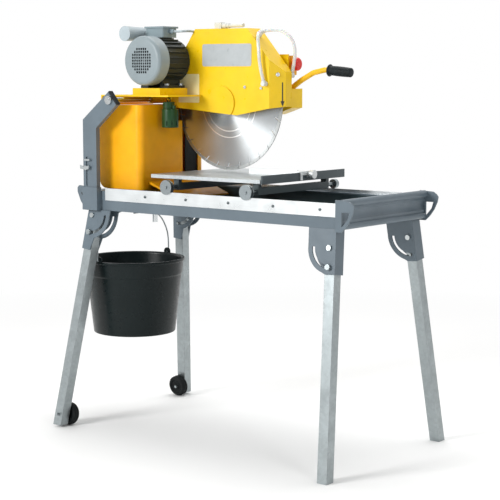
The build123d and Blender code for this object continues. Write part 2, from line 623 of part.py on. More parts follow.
def fan_cover():
    """Pressed cowl with a grid of square holes."""
    y0, y1 = MOTOR_NEAR, MOTOR_NEAR + FAN_COVER_LENGTH
    cowl = rod_y(MOTOR_X, MOTOR_Z, y0, y1, FAN_COVER_R)
    cowl = fillet(cowl.faces().sort_by(Axis.Y)[0].edges(), 14)
    hollow = rod_y(MOTOR_X, MOTOR_Z, y0 + 2.5, y1 + 1, FAN_COVER_R - 2.5)
    hollow = fillet(hollow.faces().sort_by(Axis.Y)[0].edges(), 11.5)
    cowl -= hollow
    pitch, hole, reach = 9.6, 6.8, 47.0
    count = int(reach // pitch)
    cells = []
    for i in range(-count, count + 1):
        for k in range(-count, count + 1):
            if math.hypot(i, k) * pitch <= reach:
                x, z = MOTOR_X + i * pitch, MOTOR_Z + k * pitch
                cells.append(block(x - hole / 2, x + hole / 2, y0 - 1, y0 + 4, z - hole / 2, z + hole / 2))
    return cowl - cells


def terminal_box():
    """Box on top of the motor with a lid and a cable gland."""
    x0, x1 = MOTOR_X - 62, MOTOR_X + 17
    y0, y1 = MOTOR_FAR - 74, MOTOR_FAR - 3
    z0 = MOTOR_Z + 78
    box = block(x0, x1, y0, y1, z0, z0 + 31)
    box = fillet(box.edges().filter_by(Axis.Z), 6)
    box += block(x0 - 3, x1 + 3, y0 - 3, y1 + 3, z0 + 31, z0 + 37)
    end, y, z = gland_point()
    return box + rod_x(y, z, x1 - 1, end, 8)


def gland_point():
    """Where the motor lead leaves the terminal box."""
    return (MOTOR_X + 35, MOTOR_FAR - 38, MOTOR_Z + 98)


def capacitor():
    """Run capacitor in its tapered housing, strapped to the side of the terminal box."""
    x, z = MOTOR_X - 92, MOTOR_Z + 91
    far_end = MOTOR_FAR - 43
    can = Solid.make_cone(22, 25, 103, Plane(origin=(x, far_end, z), z_dir=(0, -1, 0)))
    return can + block(x + 10, MOTOR_X - 62, MOTOR_FAR - 70, far_end - 4, z - 8, z + 8)


def head_screws():
    """Hexagon bolts in the motor feet and round heads on the guard."""
    foot_top = BASE_Z + BASE_THICK + 32
    bolts = []
    for sx in (-1, 1):
        for y in (MOTOR_NEAR + FAN_COVER_LENGTH + 22, MOTOR_FAR - 24):
            head = extrude(Plane.XY.offset(foot_top) * RegularPolygon(8, 6), amount=6)
            bolts.append(Pos(MOTOR_X + sx * 49, y, 0) * head)
    for x, z in ((-300, 1186), (20, 1165), (88, 1162)):
        bolts.append(rod_y(x, z, GUARD_NEAR - 3, GUARD_NEAR, 5))
    bolts.append(extrude(Plane(origin=(137.5, GUARD_NEAR + 22, 1206), z_dir=(44, -35, 0)) * Circle(6.5), amount=4))
    return group(bolts)


# ---- blade and guard -----------------------------------------------------------------
def guard_outline():
    """Side view of the guard, clockwise from its upper left corner."""
    return [(-195, 1358), (28, 1357), (155, 1214), (155, 1102), (-16, 1072), (-317, 1097), (-318, 1184)]


def blade_guard():
    """Folded sheet box over the upper half of the blade, open below."""
    outline = guard_outline()
    shell = slab(outline, GUARD_NEAR, GUARD_FAR)
    run, nose = 35.0, 44.0
    wedge = Polyline((155 - run, GUARD_NEAR, 0), (155 - run, GUARD_NEAR - 1, 0), (156, GUARD_NEAR - 1, 0),
                     (156, GUARD_NEAR + nose, 0), (155, GUARD_NEAR + nose, 0), close=True)
    shell -= extrude(make_face(wedge), amount=1500, dir=(0, 0, 1))
    w = GUARD_WALL
    inner = slab(inset(outline, [w, w, w, -8, -8, w, w]), GUARD_NEAR + w, GUARD_FAR - w)
    slant = math.hypot(run, nose)
    wedge_in = Polyline((155 - run - w * slant / nose, GUARD_NEAR, 0), (156, GUARD_NEAR, 0),
                        (156, GUARD_NEAR + nose + w * slant / run + nose / run, 0), close=True)
    inner -= extrude(make_face(wedge_in), amount=1500, dir=(0, 0, 1))
    shell -= inner
    shell -= rod_y(BLADE_X, BLADE_Z, GUARD_FAR - w - 1, GUARD_FAR + 1, GUARD_HOLE_R)
    hump = rod_y(BLADE_X, BLADE_Z, GUARD_NEAR - 5, GUARD_NEAR, 56) & slab(outline, GUARD_NEAR - 6, GUARD_NEAR)
    return shell + hump


def saw_blade():
    """Diamond blade: steel core with slots and raised segments on its rim."""
    y0, y1 = BLADE_Y - BLADE_THICK / 2, BLADE_Y + BLADE_THICK / 2
    core = rod_y(BLADE_X, BLADE_Z, y0, y1, BLADE_R - SEGMENT_DEPTH)
    rim = ring_y(BLADE_X, BLADE_Z, y0 - 0.5, y1 + 0.5, BLADE_R, BLADE_R - SEGMENT_DEPTH)
    cuts = []
    for i in range(BLADE_SEGMENTS):
        cut = block(BLADE_R - GULLET_DEPTH, BLADE_R + 2, y0 - 2, y1 + 2, -GULLET_WIDTH / 2, GULLET_WIDTH / 2)
        lean = Pos(BLADE_R - GULLET_DEPTH, 0, 0) * Rot(0, 24, 0) * Pos(-BLADE_R + GULLET_DEPTH, 0, 0)
        cuts.append(Pos(BLADE_X, 0, BLADE_Z) * Rot(0, 360 / BLADE_SEGMENTS * i, 0) * lean * cut)
    return core + rim - cuts - rod_y(BLADE_X, BLADE_Z, y0 - 2, y1 + 2, SPINDLE_R + FIT_GAP)


def blade_flanges():
    """Clamping flanges either side of the blade, and the nut."""
    y0, y1 = BLADE_Y - BLADE_THICK / 2, BLADE_Y + BLADE_THICK / 2
    inner = ring_y(BLADE_X, BLADE_Z, y1, y1 + FLANGE_THICK, FLANGE_R, SPINDLE_R + FIT_GAP)
    outer = ring_y(BLADE_X, BLADE_Z, y0 - FLANGE_THICK, y0, FLANGE_R, SPINDLE_R + FIT_GAP)
    hexagon = RegularPolygon(21, 6)
    nut = extrude(Plane.XZ * hexagon, amount=12)
    nut = Pos(BLADE_X, y0 - FLANGE_THICK, BLADE_Z) * nut
    nut -= rod_y(BLADE_X, BLADE_Z, y0 - FLANGE_THICK - 14, y0, SPINDLE_R + FIT_GAP)
    return group([inner, outer, nut])


def blade_spindle():
    """Spindle through flanges, bearings and driven pulley."""
    near = BLADE_Y - BLADE_THICK / 2 - FLANGE_THICK - 13
    return rod_y(BLADE_X, BLADE_Z, near, PULLEY_Y + PULLEY_WIDTH + 3, SPINDLE_R)


# ---- water -----------------------------------------------------------------------------
def fitting_point():
    """Top of the branch fitting on the guard's slope."""
    return (58.0, GUARD_NEAR + 40, 1346.0)


def socket_end(toward):
    """End of the fitting's stub that points at the next point of a hose."""
    centre = Vector(*fitting_point())
    return centre + (Vector(*toward) - centre).normalized() * STUB_REACH


def water_fittings():
    """Valve and hose tail on the guard's top, branch fitting on its slope, and two elbows on its sides."""
    top, y = 1358.0, BLADE_Y
    valve = block(-134, -106, y - 11, y + 11, top, top + 21)
    valve += rod_x(y, top + 10, -108, -88, 9) + rod_x(y, top + 10, -89, -76, 8) + rod_x(y, top + 10, -77, -18, 6.5)
    centre = Vector(*fitting_point())
    branch = Pos(*centre) * Sphere(9)
    branch += Pos(centre.X - 8, centre.Y, centre.Z - 12) * Rot(0, 42, 0) * Cylinder(7, 30)
    for first in (NEAR_HOSE[0], FAR_HOSE[0]):
        end = socket_end(first)
        run = (end - centre).normalized()
        stub = extrude(Plane(origin=centre, z_dir=run) * Circle(HOSE_R + 0.6), amount=STUB_REACH)
        branch += stub
    branch -= slab(guard_outline(), GUARD_NEAR - 5, GUARD_FAR + 5)
    elbows = []
    for hose, face in ((NEAR_HOSE, GUARD_NEAR), (FAR_HOSE, GUARD_FAR)):
        end = Vector(*hose[-1])
        run = (end - Vector(*hose[-2])).normalized()
        root = end + run * 10
        back = root.Y + math.copysign(7, root.Y - face)
        elbow = rod_y(root.X, root.Z, min(face, back), max(face, back), 8)
        elbows.append(elbow + extrude(Plane(origin=end, z_dir=run) * Circle(7), amount=11))
    return group([valve, branch] + elbows)


STUB_REACH = 13.0
HOSE_R = 5.5
NEAR_HOSE = [(70, 0, 1342), (81, -17, 1328), (89, -24, 1300), (92, -25, 1268), (95, -24, 1234), (105, -19, 1186)]
FAR_HOSE = [(98, 48, 1353), (132, 58, 1346), (157, 67, 1322), (166, 73, 1290), (160, 77, 1252),
            (151, 77, 1213)]
MOTOR_LEAD = [(-221, -50, 1350), (-200, -24, 1352), (-218, 22, 1349), (-224, 62, 1340), (-213, 96, 1318),
              (-172, 104, 1288), (-104, 104, 1262), (-24, 104, 1246), (40, 105, 1240), (88, 105, 1240)]
LEAD_R = 4.0


def near_hose():
    """Clear hose from the branch fitting to the near side of the blade."""
    return tube_path([tuple(socket_end(NEAR_HOSE[0]))] + NEAR_HOSE, HOSE_R)


def far_hose():
    """Clear hose that loops over to the far side of the blade."""
    return tube_path([tuple(socket_end(FAR_HOSE[0]))] + FAR_HOSE, HOSE_R)


def motor_lead():
    """Lead from the terminal box, over and behind the guard, to the switch box."""
    return tube_path([gland_point()] + MOTOR_LEAD, LEAD_R)


def water_pump():
    """Submersible pump, parked on a hook under the motor base."""
    x, y = PUMP_X, PUMP_Y
    body = rod_z(x + 6, y, 1029, 1092, 28)
    body = fillet(body.edges().filter_by(GeomType.CIRCLE), 3)
    body += rod_z(x, y, 1091, 1115, 20)
    body += rod_z(x + 24, y, 1091, 1104, 6)
    for i in range(10):
        slot = block(22, 30, -1.5, 1.5, 1036, 1052)
        body -= Pos(x + 6, y, 0) * Rot(0, 0, 36 * i) * slot
    eye = Pos(x, y, HOOK_Z - 2.5) * Rot(90, 0, 0) * Torus(7, 2)
    return body + eye


def pump_hook():
    """Hook under the motor base that the pump's eye hangs on."""
    bar = rod_y(PUMP_X, HOOK_Z, PUMP_Y - 7, PUMP_Y + 13, 2.2)
    return bar + block(PUMP_X - 2.5, PUMP_X + 2.5, PUMP_Y + 10, PUMP_Y + 14, HOOK_Z - 2.2, BASE_Z + 1)


# ---- controls --------------------------------------------------------------------------
def switch_box():
    """Switch box on the arm, behind the guard."""
    y0 = ARM_PLATE_Y + ARM_PLATE
    box = block(88, 131, y0, y0 + 46, 1204, 1268)
    box = fillet(box.edges().filter_by(Axis.X), 5)
    collar = rod_x(y0 + 23, BUTTON_Z, 131, 137, 15)
    return box + collar - rod_x(y0 + 23, BUTTON_Z, 126 - BUTTON_TRAVEL, 138, BUTTON_STEM_R + RUNNING_GAP)


def stop_button():
    """Red mushroom button on the end of the switch box."""
    y = ARM_PLATE_Y + ARM_PLATE + 23
    stem = rod_x(y, BUTTON_Z, 128, 144, BUTTON_STEM_R)
    head = rod_x(y, BUTTON_Z, 143, 158, 22)
    head = fillet(head.faces().sort_by(Axis.X)[-1].edges(), 8)
    return stem + head


def handle_route():
    """Centre line of the handle."""
    y = ARM_PLATE_Y + 30
    return [(116, y, 1155), (168, y, 1188), (216, y, 1212), (262, y, 1221), (362, y, 1212)]


def handle_tube():
    """Bent tube from the boxed end of the arm to the operator."""
    points = handle_route()
    path = FilletPolyline(*points, radius=40)
    tube = sweep(Plane(origin=path @ 0, z_dir=path % 0) * Circle(9), path=path)
    return tube - block(100, 149.99, 80, 134, 1090, 1160)


def handle_grip():
    """Ribbed grip with an end flange."""
    points = handle_route()
    start, end = Vector(*points[-2]), Vector(*points[-1])
    along = (end - start).normalized()
    frame = Plane(origin=end - along * 78, z_dir=along)
    grip = frame * (Pos(0, 0, 41) * Cylinder(14.5, 82))
    for i in range(9):
        grip += frame * (Pos(0, 0, 8 + i * 8.4) * Cylinder(16, 4))
    grip += frame * (Pos(0, 0, 1.5) * Cylinder(20, 3))
    bore = frame * (Pos(0, 0, 38) * Cylinder(9, 80))
    return grip - bore


# ---- carriage --------------------------------------------------------------------------
def table_top():
    """Folded table sheet with turned-down edges and a slot for the blade."""
    top = block(TABLE_LEFT, TABLE_RIGHT, -TABLE_HALF, TABLE_HALF, TABLE_BOTTOM, TABLE_TOP)
    top -= block(TABLE_LEFT + TABLE_SHEET, TABLE_RIGHT - TABLE_SHEET, -TABLE_HALF + TABLE_SHEET,
                 TABLE_HALF - TABLE_SHEET, TABLE_BOTTOM - 1, TABLE_TOP - TABLE_SHEET)
    slot = block(TABLE_LEFT - 1, TABLE_RIGHT - 60, BLADE_Y - BLADE_SLOT / 2, BLADE_Y + BLADE_SLOT / 2,
                 TABLE_BOTTOM - 2, TABLE_TOP + 1)
    return top - slot


def carriage_frame():
    """Two cross beams under the table, with cheeks that hold the roller axles."""
    pieces = []
    table_under = TABLE_TOP - TABLE_SHEET
    for x in (ROLLER_LEFT_X, ROLLER_RIGHT_X):
        low = ROLLER_Z - BEAM_SIZE / 2
        tie_low = table_under - 8 if x == ROLLER_LEFT_X else low
        half = RAIL_IN - 14
        beam = block(x - BEAM_SIZE / 2, x + BEAM_SIZE / 2, -half, half, low, low + BEAM_SIZE)
        beam -= rod_y(x, ROLLER_Z, -half - 1, half + 1, AXLE_R + RUNNING_GAP)
        for y in (-half, half - 16):
            beam += block(x - BEAM_SIZE / 2, x + BEAM_SIZE / 2, y, y + 16, low + BEAM_SIZE - 1, table_under)
        pieces.append(beam)
    return group(pieces)


def wheelset(x):
    """Axle with a grooved roller on the near rail and a plain one on the far rail."""
    z = ROLLER_Z
    y_track = HALF_WIDTH - STRIP_THICK / 2
    axle = rod_y(x, z, -y_track - ROLLER_WIDTH / 2 - 3, y_track + ROLLER_WIDTH / 2 + 3, AXLE_R)
    half_groove = STRIP_THICK / 2 + ROLLER_GAP
    near = ring_y(x, z, -y_track - ROLLER_WIDTH / 2, -y_track + ROLLER_WIDTH / 2, ROLLER_RUN_R, AXLE_R + FIT_GAP)
    for a, b in ((-y_track - ROLLER_WIDTH / 2, -y_track - half_groove),
                 (-y_track + half_groove, -y_track + ROLLER_WIDTH / 2)):
        near += ring_y(x, z, a, b, ROLLER_FLANGE_R, AXLE_R + FIT_GAP)
    far = ring_y(x, z, y_track - ROLLER_WIDTH / 2, y_track + ROLLER_WIDTH / 2, ROLLER_RUN_R, AXLE_R + FIT_GAP)
    return group([axle, near, far])


def fence_bar():
    """Bar across the operator's end of the table that the work rests against."""
    return block(TABLE_RIGHT, TABLE_RIGHT + FENCE_THICK, FENCE_NEAR, FENCE_FAR, FENCE_BOTTOM, FENCE_TOP)


def parallel_stop():
    """Side stop that slides along the fence, with its clamp knob."""
    z0 = TABLE_TOP + 0.4
    plate = block(TABLE_RIGHT - STOP_LENGTH, TABLE_RIGHT - 0.4, STOP_Y, STOP_Y + STOP_THICK, z0,
                  z0 + STOP_HEIGHT)
    bridge_z = FENCE_TOP + 0.4
    back = TABLE_RIGHT + FENCE_THICK + 0.4
    plate += block(TABLE_RIGHT - 30, back + 3, STOP_Y, STOP_Y + 60, bridge_z, bridge_z + 3)
    for y, low in ((STOP_Y + 4, 868.0), (STOP_Y + 40, 876.0)):
        plate += block(back, back + 3, y, y + 12, low, bridge_z + 1)
    plate += block(back, back + 3, STOP_Y + 12, STOP_Y + 60, 884, bridge_z + 1)
    plate -= rod_x(STOP_Y + 54, 886, back - 1, back + 4, 3 + FIT_GAP)
    knob = rod_x(STOP_Y + 54, 886, back - 0.1, back + 12, 3)
    knob += rod_x(STOP_Y + 54, 886, back + 6, back + 22, 14)
    return group([plate, knob])


# ---- legs ------------------------------------------------------------------------------
def leg_place(side, right):
    """Where a leg's own frame (pivot at the origin, tube along -Z) stands on the machine."""
    x = RIGHT_PIVOT_X if right else LEFT_PIVOT_X
    z = RIGHT_PIVOT_Z if right else LEFT_PIVOT_Z
    lean = -RIGHT_LEAN if right else LEFT_LEAN
    return Pos(x, side * PIVOT_Y, z) * Rot(side * LEG_SPLAY, 0, 0) * Rot(0, lean, 0)


def leg_length(right):
    """Pivot to the underside of the foot, measured along the tube."""
    z = RIGHT_PIVOT_Z if right else LEFT_PIVOT_Z
    lean = RIGHT_LEAN if right else LEFT_LEAN
    return z / math.cos(math.radians(LEG_SPLAY)) / math.cos(math.radians(lean))


def leg(side, right):
    """Square tube, rubber foot and lock bolt of one leg, in place."""
    half = LEG_SIZE / 2
    length = leg_length(right)
    tube = block(-half, half, -half, half, -length - 20, 0)
    tube += rod_y(0, 0, -half, half, half)
    inner = half - LEG_WALL
    tube -= block(-inner, inner, -inner, inner, -length - 21, -20)
    tube -= rod_y(0, 0, -half - 1, half + 1, PIVOT_BOLT_R + RUNNING_GAP)
    tube -= rod_y(0, -LOCK_ARC, -half - 1, half + 1, LOCK_R + FIT_GAP)
    grip = -1 if side == NEAR else 1
    lock_low, lock_high = sorted((grip * (half + 13), -grip * (half + 8)))
    lock = rod_y(0, -LOCK_ARC, lock_low, lock_high, LOCK_R)
    knob_y = grip * (half + BRACKET_GAP + BRACKET_WALL + 1)
    lock += rod_y(0, -LOCK_ARC, min(knob_y, knob_y + grip * 9), max(knob_y, knob_y + grip * 9), 9)
    shapes = [tube, lock]
    if not right:
        inward = -side
        axle_y = inward * (half + WHEEL_GAP + WHEEL_WIDTH + 4)
        bolt_low, bolt_high = sorted((-inward * (half + 12), axle_y))
        shapes[0] -= rod_y(0, axle_height(), -half - 1, half + 1, AXLE_BOLT_R + FIT_GAP)
        shapes.append(rod_y(0, axle_height(), bolt_low, bolt_high, AXLE_BOLT_R))
    placed = [leg_place(side, right) * s for s in shapes]
    clear = 0 if right else LEFT_FOOT_CLEAR
    floor = block(-900, 900, -700, 700, -200, clear + FOOT_HEIGHT)
    placed[0] -= floor
    foot = leg_place(side, right) * block(-half, half, -half, half, -length - 60, -length + 60)
    foot = foot & block(-900, 900, -700, 700, clear, clear + FOOT_HEIGHT)
    placed.append(foot)
    return group(placed)


def axle_height():
    """Wheel axle along a left-hand leg, set so that the tilted tread just meets the floor."""
    splay, lean = math.radians(LEG_SPLAY), math.radians(LEFT_LEAN)
    above = (WHEEL_R - WHEEL_EDGE) * math.cos(splay) + WHEEL_EDGE
    above += (WHEEL_WIDTH / 2 - WHEEL_EDGE) * math.sin(splay)
    inboard = LEG_SIZE / 2 + WHEEL_GAP + WHEEL_WIDTH / 2
    return (above - LEFT_PIVOT_Z + inboard * math.sin(splay)) / math.cos(splay) / math.cos(lean)


def leg_wheel(side):
    """Solid wheel on the inner face of a left-hand leg."""
    half = LEG_SIZE / 2
    inward = -side
    y0, y1 = sorted((inward * (half + WHEEL_GAP), inward * (half + WHEEL_GAP + WHEEL_WIDTH)))
    wheel = rod_y(0, axle_height(), y0, y1, WHEEL_R)
    wheel = fillet(wheel.edges().filter_by(GeomType.CIRCLE), WHEEL_EDGE)
    wheel -= rod_y(0, axle_height(), y0 - 1, y1 + 1, AXLE_BOLT_R + RUNNING_GAP)
    return leg_place(side, False) * wheel


def leg_bracket(side, right):
    """Channel round the top of a leg, with a quadrant whose slot guides the lock bolt."""
    fold = -1 if right else 1
    drop = BRACKET_DROP + (0 if right else LEFT_PIVOT_Z - RIGHT_PIVOT_Z)
    back = -fold * (BRACKET_IN + BRACKET_WALL)
    plate = [(back, 80), (back, -drop), (back + fold * 36, -drop)]
    swing = arc_points(0, 0, QUADRANT_R, -72, 6, 10)
    plate += [(fold * x, z) for x, z in swing]
    plate += [(fold * QUADRANT_R, 80)]
    if fold < 0:
        plate = plate[::-1]
    solid = slab(plate, -BRACKET_IN - BRACKET_WALL, BRACKET_IN + BRACKET_WALL)
    solid -= block(-fold * BRACKET_IN, fold * 200, -BRACKET_IN, BRACKET_IN, -drop - 1, 90)
    solid -= rod_y(0, 0, -60, 60, PIVOT_BOLT_R + FIT_GAP)
    slot_end = 4 if right else 9
    outer = LOCK_ARC + LOCK_R + 0.6
    inner = LOCK_ARC - LOCK_R - 0.6
    ring = arc_points(0, 0, outer, -97, slot_end, 16) + arc_points(0, 0, inner, slot_end, -97, 16)
    ring = [(fold * x, z) for x, z in ring]
    solid -= slab(ring, -60, 60)
    placed = leg_place(side, right) * solid
    return placed - block(-900, 900, -700, 700, RAIL_BOTTOM, 900)


def leg_brackets():
    """All four leg brackets."""
    return group([leg_bracket(side, right) for right in (True, False) for side in (NEAR, FAR)])


def leg_pivot_bolts():
    """Hinge bolts of the legs."""
    reach = BRACKET_IN + BRACKET_WALL
    bolt = rod_y(0, 0, -reach, reach, PIVOT_BOLT_R)
    bolt += rod_y(0, 0, -reach - 6, -reach, 8.5) + rod_y(0, 0, reach, reach + 6, 8.5)
    return group([leg_place(side, right) * bolt for right in (True, False) for side in (NEAR, FAR)])


# ---- bucket ----------------------------------------------------------------------------
def bucket():
    """Tapered mortar bucket with a rolled rim and two ears."""
    top, base, h = BUCKET_TOP_R, BUCKET_BASE_R, BUCKET_HEIGHT
    section = Polyline((0, 0), (base, 0), (top, h - 12), (top + RIM_LIP, h - 12), (top + RIM_LIP, h), (top - 2, h),
                       (base - BUCKET_WALL, BUCKET_WALL), (0, BUCKET_WALL), close=True)
    body = revolve(Plane.XZ * make_face(section), axis=Axis.Z)
    ear_y = top + RIM_LIP - 5
    for side in (-1, 1):
        ear = block(-14, 14, side * (ear_y - 2), side * (ear_y + 5), h - 14, h + 14)
        body += ear - rod_y(0, h + 4, -300, 300, BAIL_R + 0.4)
    body -= Pos(0, 0, BUCKET_WALL) * Cone(base - BUCKET_WALL, top - 2, h - BUCKET_WALL,
                                          align=(Align.CENTER, Align.CENTER, Align.MIN))
    body -= Pos(0, 0, h) * Cylinder(top - 2, 2 * h, align=(Align.CENTER, Align.CENTER, Align.MIN))
    ears = [block(-14, 14, side * (ear_y - 1), side * (ear_y + 5), h - 14, h + 14) for side in (-1, 1)]
    for ear in ears:
        body += ear
    body -= rod_y(0, h + 4, -300, 300, BAIL_R + 0.4)
    return Pos(BUCKET_X, BUCKET_Y, BUCKET_RIM_Z - h) * body


def ear_height():
    """Height of the bail's hinge line."""
    return BUCKET_RIM_Z + 4


def bucket_bail():
    """Wire bail from ear to ear, over the hook."""
    z0 = ear_height()
    rise = BAIL_TOP_Z - z0
    y = BAIL_SPAN_R
    points = [(0, -y, 0), (0, -y * 0.99, rise * 0.42), (0, -y * 0.78, rise * 0.8), (0, -y * 0.34, rise),
              (0, y * 0.34, rise), (0, y * 0.78, rise * 0.8), (0, y * 0.99, rise * 0.42), (0, y, 0)]
    placed = [(BUCKET_X + a, BUCKET_Y + b, z0 + c) for a, b, c in points]
    wire = tube_path(placed, BAIL_R)
    ends = [rod_y(BUCKET_X, z0, BUCKET_Y + s * (y - 9), BUCKET_Y + s * y, BAIL_R) for s in (-1, 1)]
    knuckles = [Pos(BUCKET_X, BUCKET_Y + s * y, z0) * Sphere(BAIL_R) for s in (-1, 1)]
    for piece in ends + knuckles:
        wire += piece
    return wire


def bucket_hook():
    """Hook under the rear cross member that the bail hangs on."""
    pin_z = BAIL_TOP_Z - BAIL_R - HOOK_R - 0.3
    pin = rod_x(BUCKET_Y, pin_z, BUCKET_X - 12, BUCKET_X + 14, HOOK_R)
    strap = block(BUCKET_X + 10, BUCKET_X + 14, BUCKET_Y - 12, BUCKET_Y + 12, pin_z - 8, RAIL_BOTTOM)
    keeper = block(BUCKET_X - 13, BUCKET_X - 10, BUCKET_Y - 5, BUCKET_Y + 5, pin_z - 5, pin_z + 9)
    return pin + strap + keeper


def build():
    """Every node, by name, still in the making frame."""
    nodes = {
        "side_rails": side_rails(),
        "runner_strips": runner_strips(),
        "runner_screws": runner_screws(),
        "rear_cross_member": rear_cross_member(),
        "end_trough": end_trough(),
        "carry_lugs": carry_lugs(),
        "water_pan": water_pan(),
        "drain_pipe": drain_pipe(),
        "splash_hood": splash_hood(),
        "rubber_flap": rubber_flap(),
        "column_posts": column_posts(),
        "column_sleeves": column_sleeves(),
        "height_clamps": height_clamps(),
        "leg_brackets": leg_brackets(),
        "leg_pivot_bolts": leg_pivot_bolts(),
        "bucket_hook": bucket_hook(),
        "columns": columns(),
        "column_caps": column_caps(),
        "pivot_shaft": pivot_shaft(),
        "head_arm": head_arm(),
        "belt_cover": belt_cover(),
        "motor_plate": motor_plate(),
        "motor_housing": motor_housing(),
        "fan_cover": fan_cover(),
        "terminal_box": terminal_box(),
        "capacitor": capacitor(),
        "head_screws": head_screws(),
        "blade_guard": blade_guard(),
        "water_fittings": water_fittings(),
        "near_hose": near_hose(),
        "far_hose": far_hose(),
        "motor_lead": motor_lead(),
        "switch_box": switch_box(),
        "handle_tube": handle_tube(),
        "handle_grip": handle_grip(),
        "drive_belt": drive_belt(),
        "spindle_bearings": spindle_bearings(),
        "motor_shaft": motor_shaft(),
        "cooling_fan": cooling_fan(),
        "drive_pulley": pulley(MOTOR_X, MOTOR_Z, DRIVE_GROOVE_R, MOTOR_SHAFT_R),
        "saw_blade": saw_blade(),
        "blade_flanges": blade_flanges(),
        "blade_spindle": blade_spindle(),
        "driven_pulley": pulley(BLADE_X, BLADE_Z, DRIVEN_GROOVE_R, SPINDLE_R),
        "stop_button": stop_button(),
        "water_pump": water_pump(),
        "table_top": table_top(),
        "carriage_frame": carriage_frame(),
        "fence_bar": fence_bar(),
        "parallel_stop": parallel_stop(),
        "left_wheelset": wheelset(ROLLER_LEFT_X),
        "right_wheelset": wheelset(ROLLER_RIGHT_X),
        "bucket": bucket(),
        "bucket_bail": bucket_bail(),
    }
    for right, end in ((True, "right"), (False, "left")):
        for side, name in ((NEAR, "near"), (FAR, "far")):
            nodes[f"{name}_{end}_leg"] = leg(side, right)
    nodes["near_wheel"] = leg_wheel(NEAR)
    nodes["far_wheel"] = leg_wheel(FAR)
    return nodes


def main():
    """Builds every node, moves the origin to the middle of the floor space and writes the files."""
    nodes = build()
    boxes = [shape.bounding_box() for shape in nodes.values()]
    x_mid = (min(b.min.X for b in boxes) + max(b.max.X for b in boxes)) / 2
    y_mid = (min(b.min.Y for b in boxes) + max(b.max.Y for b in boxes)) / 2
    print("origin moved by", round(-x_mid, 4), round(-y_mid, 4))
    os.makedirs("parts", exist_ok=True)
    for name, shape in nodes.items():
        export_step(Pos(-x_mid, -y_mid, 0) * shape, f"parts/{name}.step")


if __name__ == "__main__":
    main()
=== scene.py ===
"""Finishes, soft shapes and studio for the wet table saw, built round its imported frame.

Every length is in metres and every place is in the row frame: +X runs along the table
towards the operator, +Y to the far side, +Z up from the floor.
"""
import json
import math

import bmesh
import bpy
import numpy as np
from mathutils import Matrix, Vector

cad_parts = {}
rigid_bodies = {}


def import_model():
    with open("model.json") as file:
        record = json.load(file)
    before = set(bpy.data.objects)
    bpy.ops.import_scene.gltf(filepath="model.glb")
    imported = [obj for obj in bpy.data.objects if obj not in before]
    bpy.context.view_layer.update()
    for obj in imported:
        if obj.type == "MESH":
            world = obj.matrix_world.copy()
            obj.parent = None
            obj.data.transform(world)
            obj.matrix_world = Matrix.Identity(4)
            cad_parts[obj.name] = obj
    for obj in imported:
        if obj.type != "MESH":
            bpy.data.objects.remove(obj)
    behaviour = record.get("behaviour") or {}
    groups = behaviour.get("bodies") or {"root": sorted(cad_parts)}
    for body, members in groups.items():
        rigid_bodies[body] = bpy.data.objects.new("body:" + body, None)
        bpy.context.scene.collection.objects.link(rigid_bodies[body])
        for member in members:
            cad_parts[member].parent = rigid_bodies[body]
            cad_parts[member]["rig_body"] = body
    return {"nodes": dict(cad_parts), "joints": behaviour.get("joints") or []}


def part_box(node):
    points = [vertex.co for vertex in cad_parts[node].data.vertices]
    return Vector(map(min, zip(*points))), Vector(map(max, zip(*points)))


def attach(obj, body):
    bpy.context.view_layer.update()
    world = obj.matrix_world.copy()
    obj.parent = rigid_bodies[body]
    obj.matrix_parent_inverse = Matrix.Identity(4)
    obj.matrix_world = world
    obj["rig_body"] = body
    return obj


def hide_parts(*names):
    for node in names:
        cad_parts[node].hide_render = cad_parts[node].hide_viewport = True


bl_info = {
    "name": "Wet Table Saw Finish",
    "version": (1, 0, 0),
    "blender": (4, 5, 0),
    "location": "View3D > Sidebar > Saw",
    "description": "Finishes, hoses, wheels, bucket and studio for a wet tile saw",
    "category": "Object",
}

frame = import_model()
NODES = frame["nodes"]
JOINTS = {joint["name"]: joint for joint in frame["joints"]}
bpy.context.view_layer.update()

MM = 0.001
NEAR_PANEL = -7.0 * MM      # near face of the blade guard
GRIP_START = np.array((294.3, 106.0, 1219.5)) * MM
GRIP_END = np.array((380.6, 106.0, 1211.7)) * MM
BLADE_MARKS = (0.095, 0.116)    # radii of the two polished rings on the blade
BLADE_MARK_HALF = 0.0016        # half the width of such a ring
BLADE_DISC_RADIUS = 0.2151      # where the disc ends and its segments begin
ROW_SHIFT = np.array((15.0, 0.0, 0.0))          # CAD source's frame to the row frame, in millimetres
BRANCH = np.array((58.0, 33.0, 1346.0))         # middle of the branch fitting, in the CAD source's frame
BRANCH_STUB = 13.0                              # from there to where a hose starts

LIGHT_TARGET = (0.0, 0.0, 0.8)
LIGHTS = (      # name, place, size, watts
    ("key_light", (-1.3, -4.3, 2.2), 1.6, 150.0),
    ("top_light", (0.0, 0.9, 4.0), 3.0, 70.0),
    ("fill_light", (4.4, -2.0, 2.4), 1.2, 34.0),
)
CAMERA_PLACE = (2.972, -3.677, 1.202)
CAMERA_DROP = 6.99              # degrees below level
CAMERA_TURN = 38.47             # degrees from +Y towards -X
CAMERA_LENS = 102.3             # millimetres, on a 36 millimetre sensor
CAMERA_SENSOR = 36.0


# ---- small tools -----------------------------------------------------------------------
def linear(colour, lift=1.0):
    """Linear colour of an sRGB hex value, c / 12.92 or ((c + 0.055) / 1.055) to the power 2.4, times lift.

    A colour that is linear already is only lifted.
    """
    if isinstance(colour, str):
        channels = [int(colour[i:i + 2], 16) / 255 for i in (1, 3, 5)]
        channels = [c / 12.92 if c <= 0.04045 else ((c + 0.055) / 1.055) ** 2.4 for c in channels]
    else:
        channels = list(colour)[:3]
    return [min(1.0, c * lift) for c in channels] + [1.0]


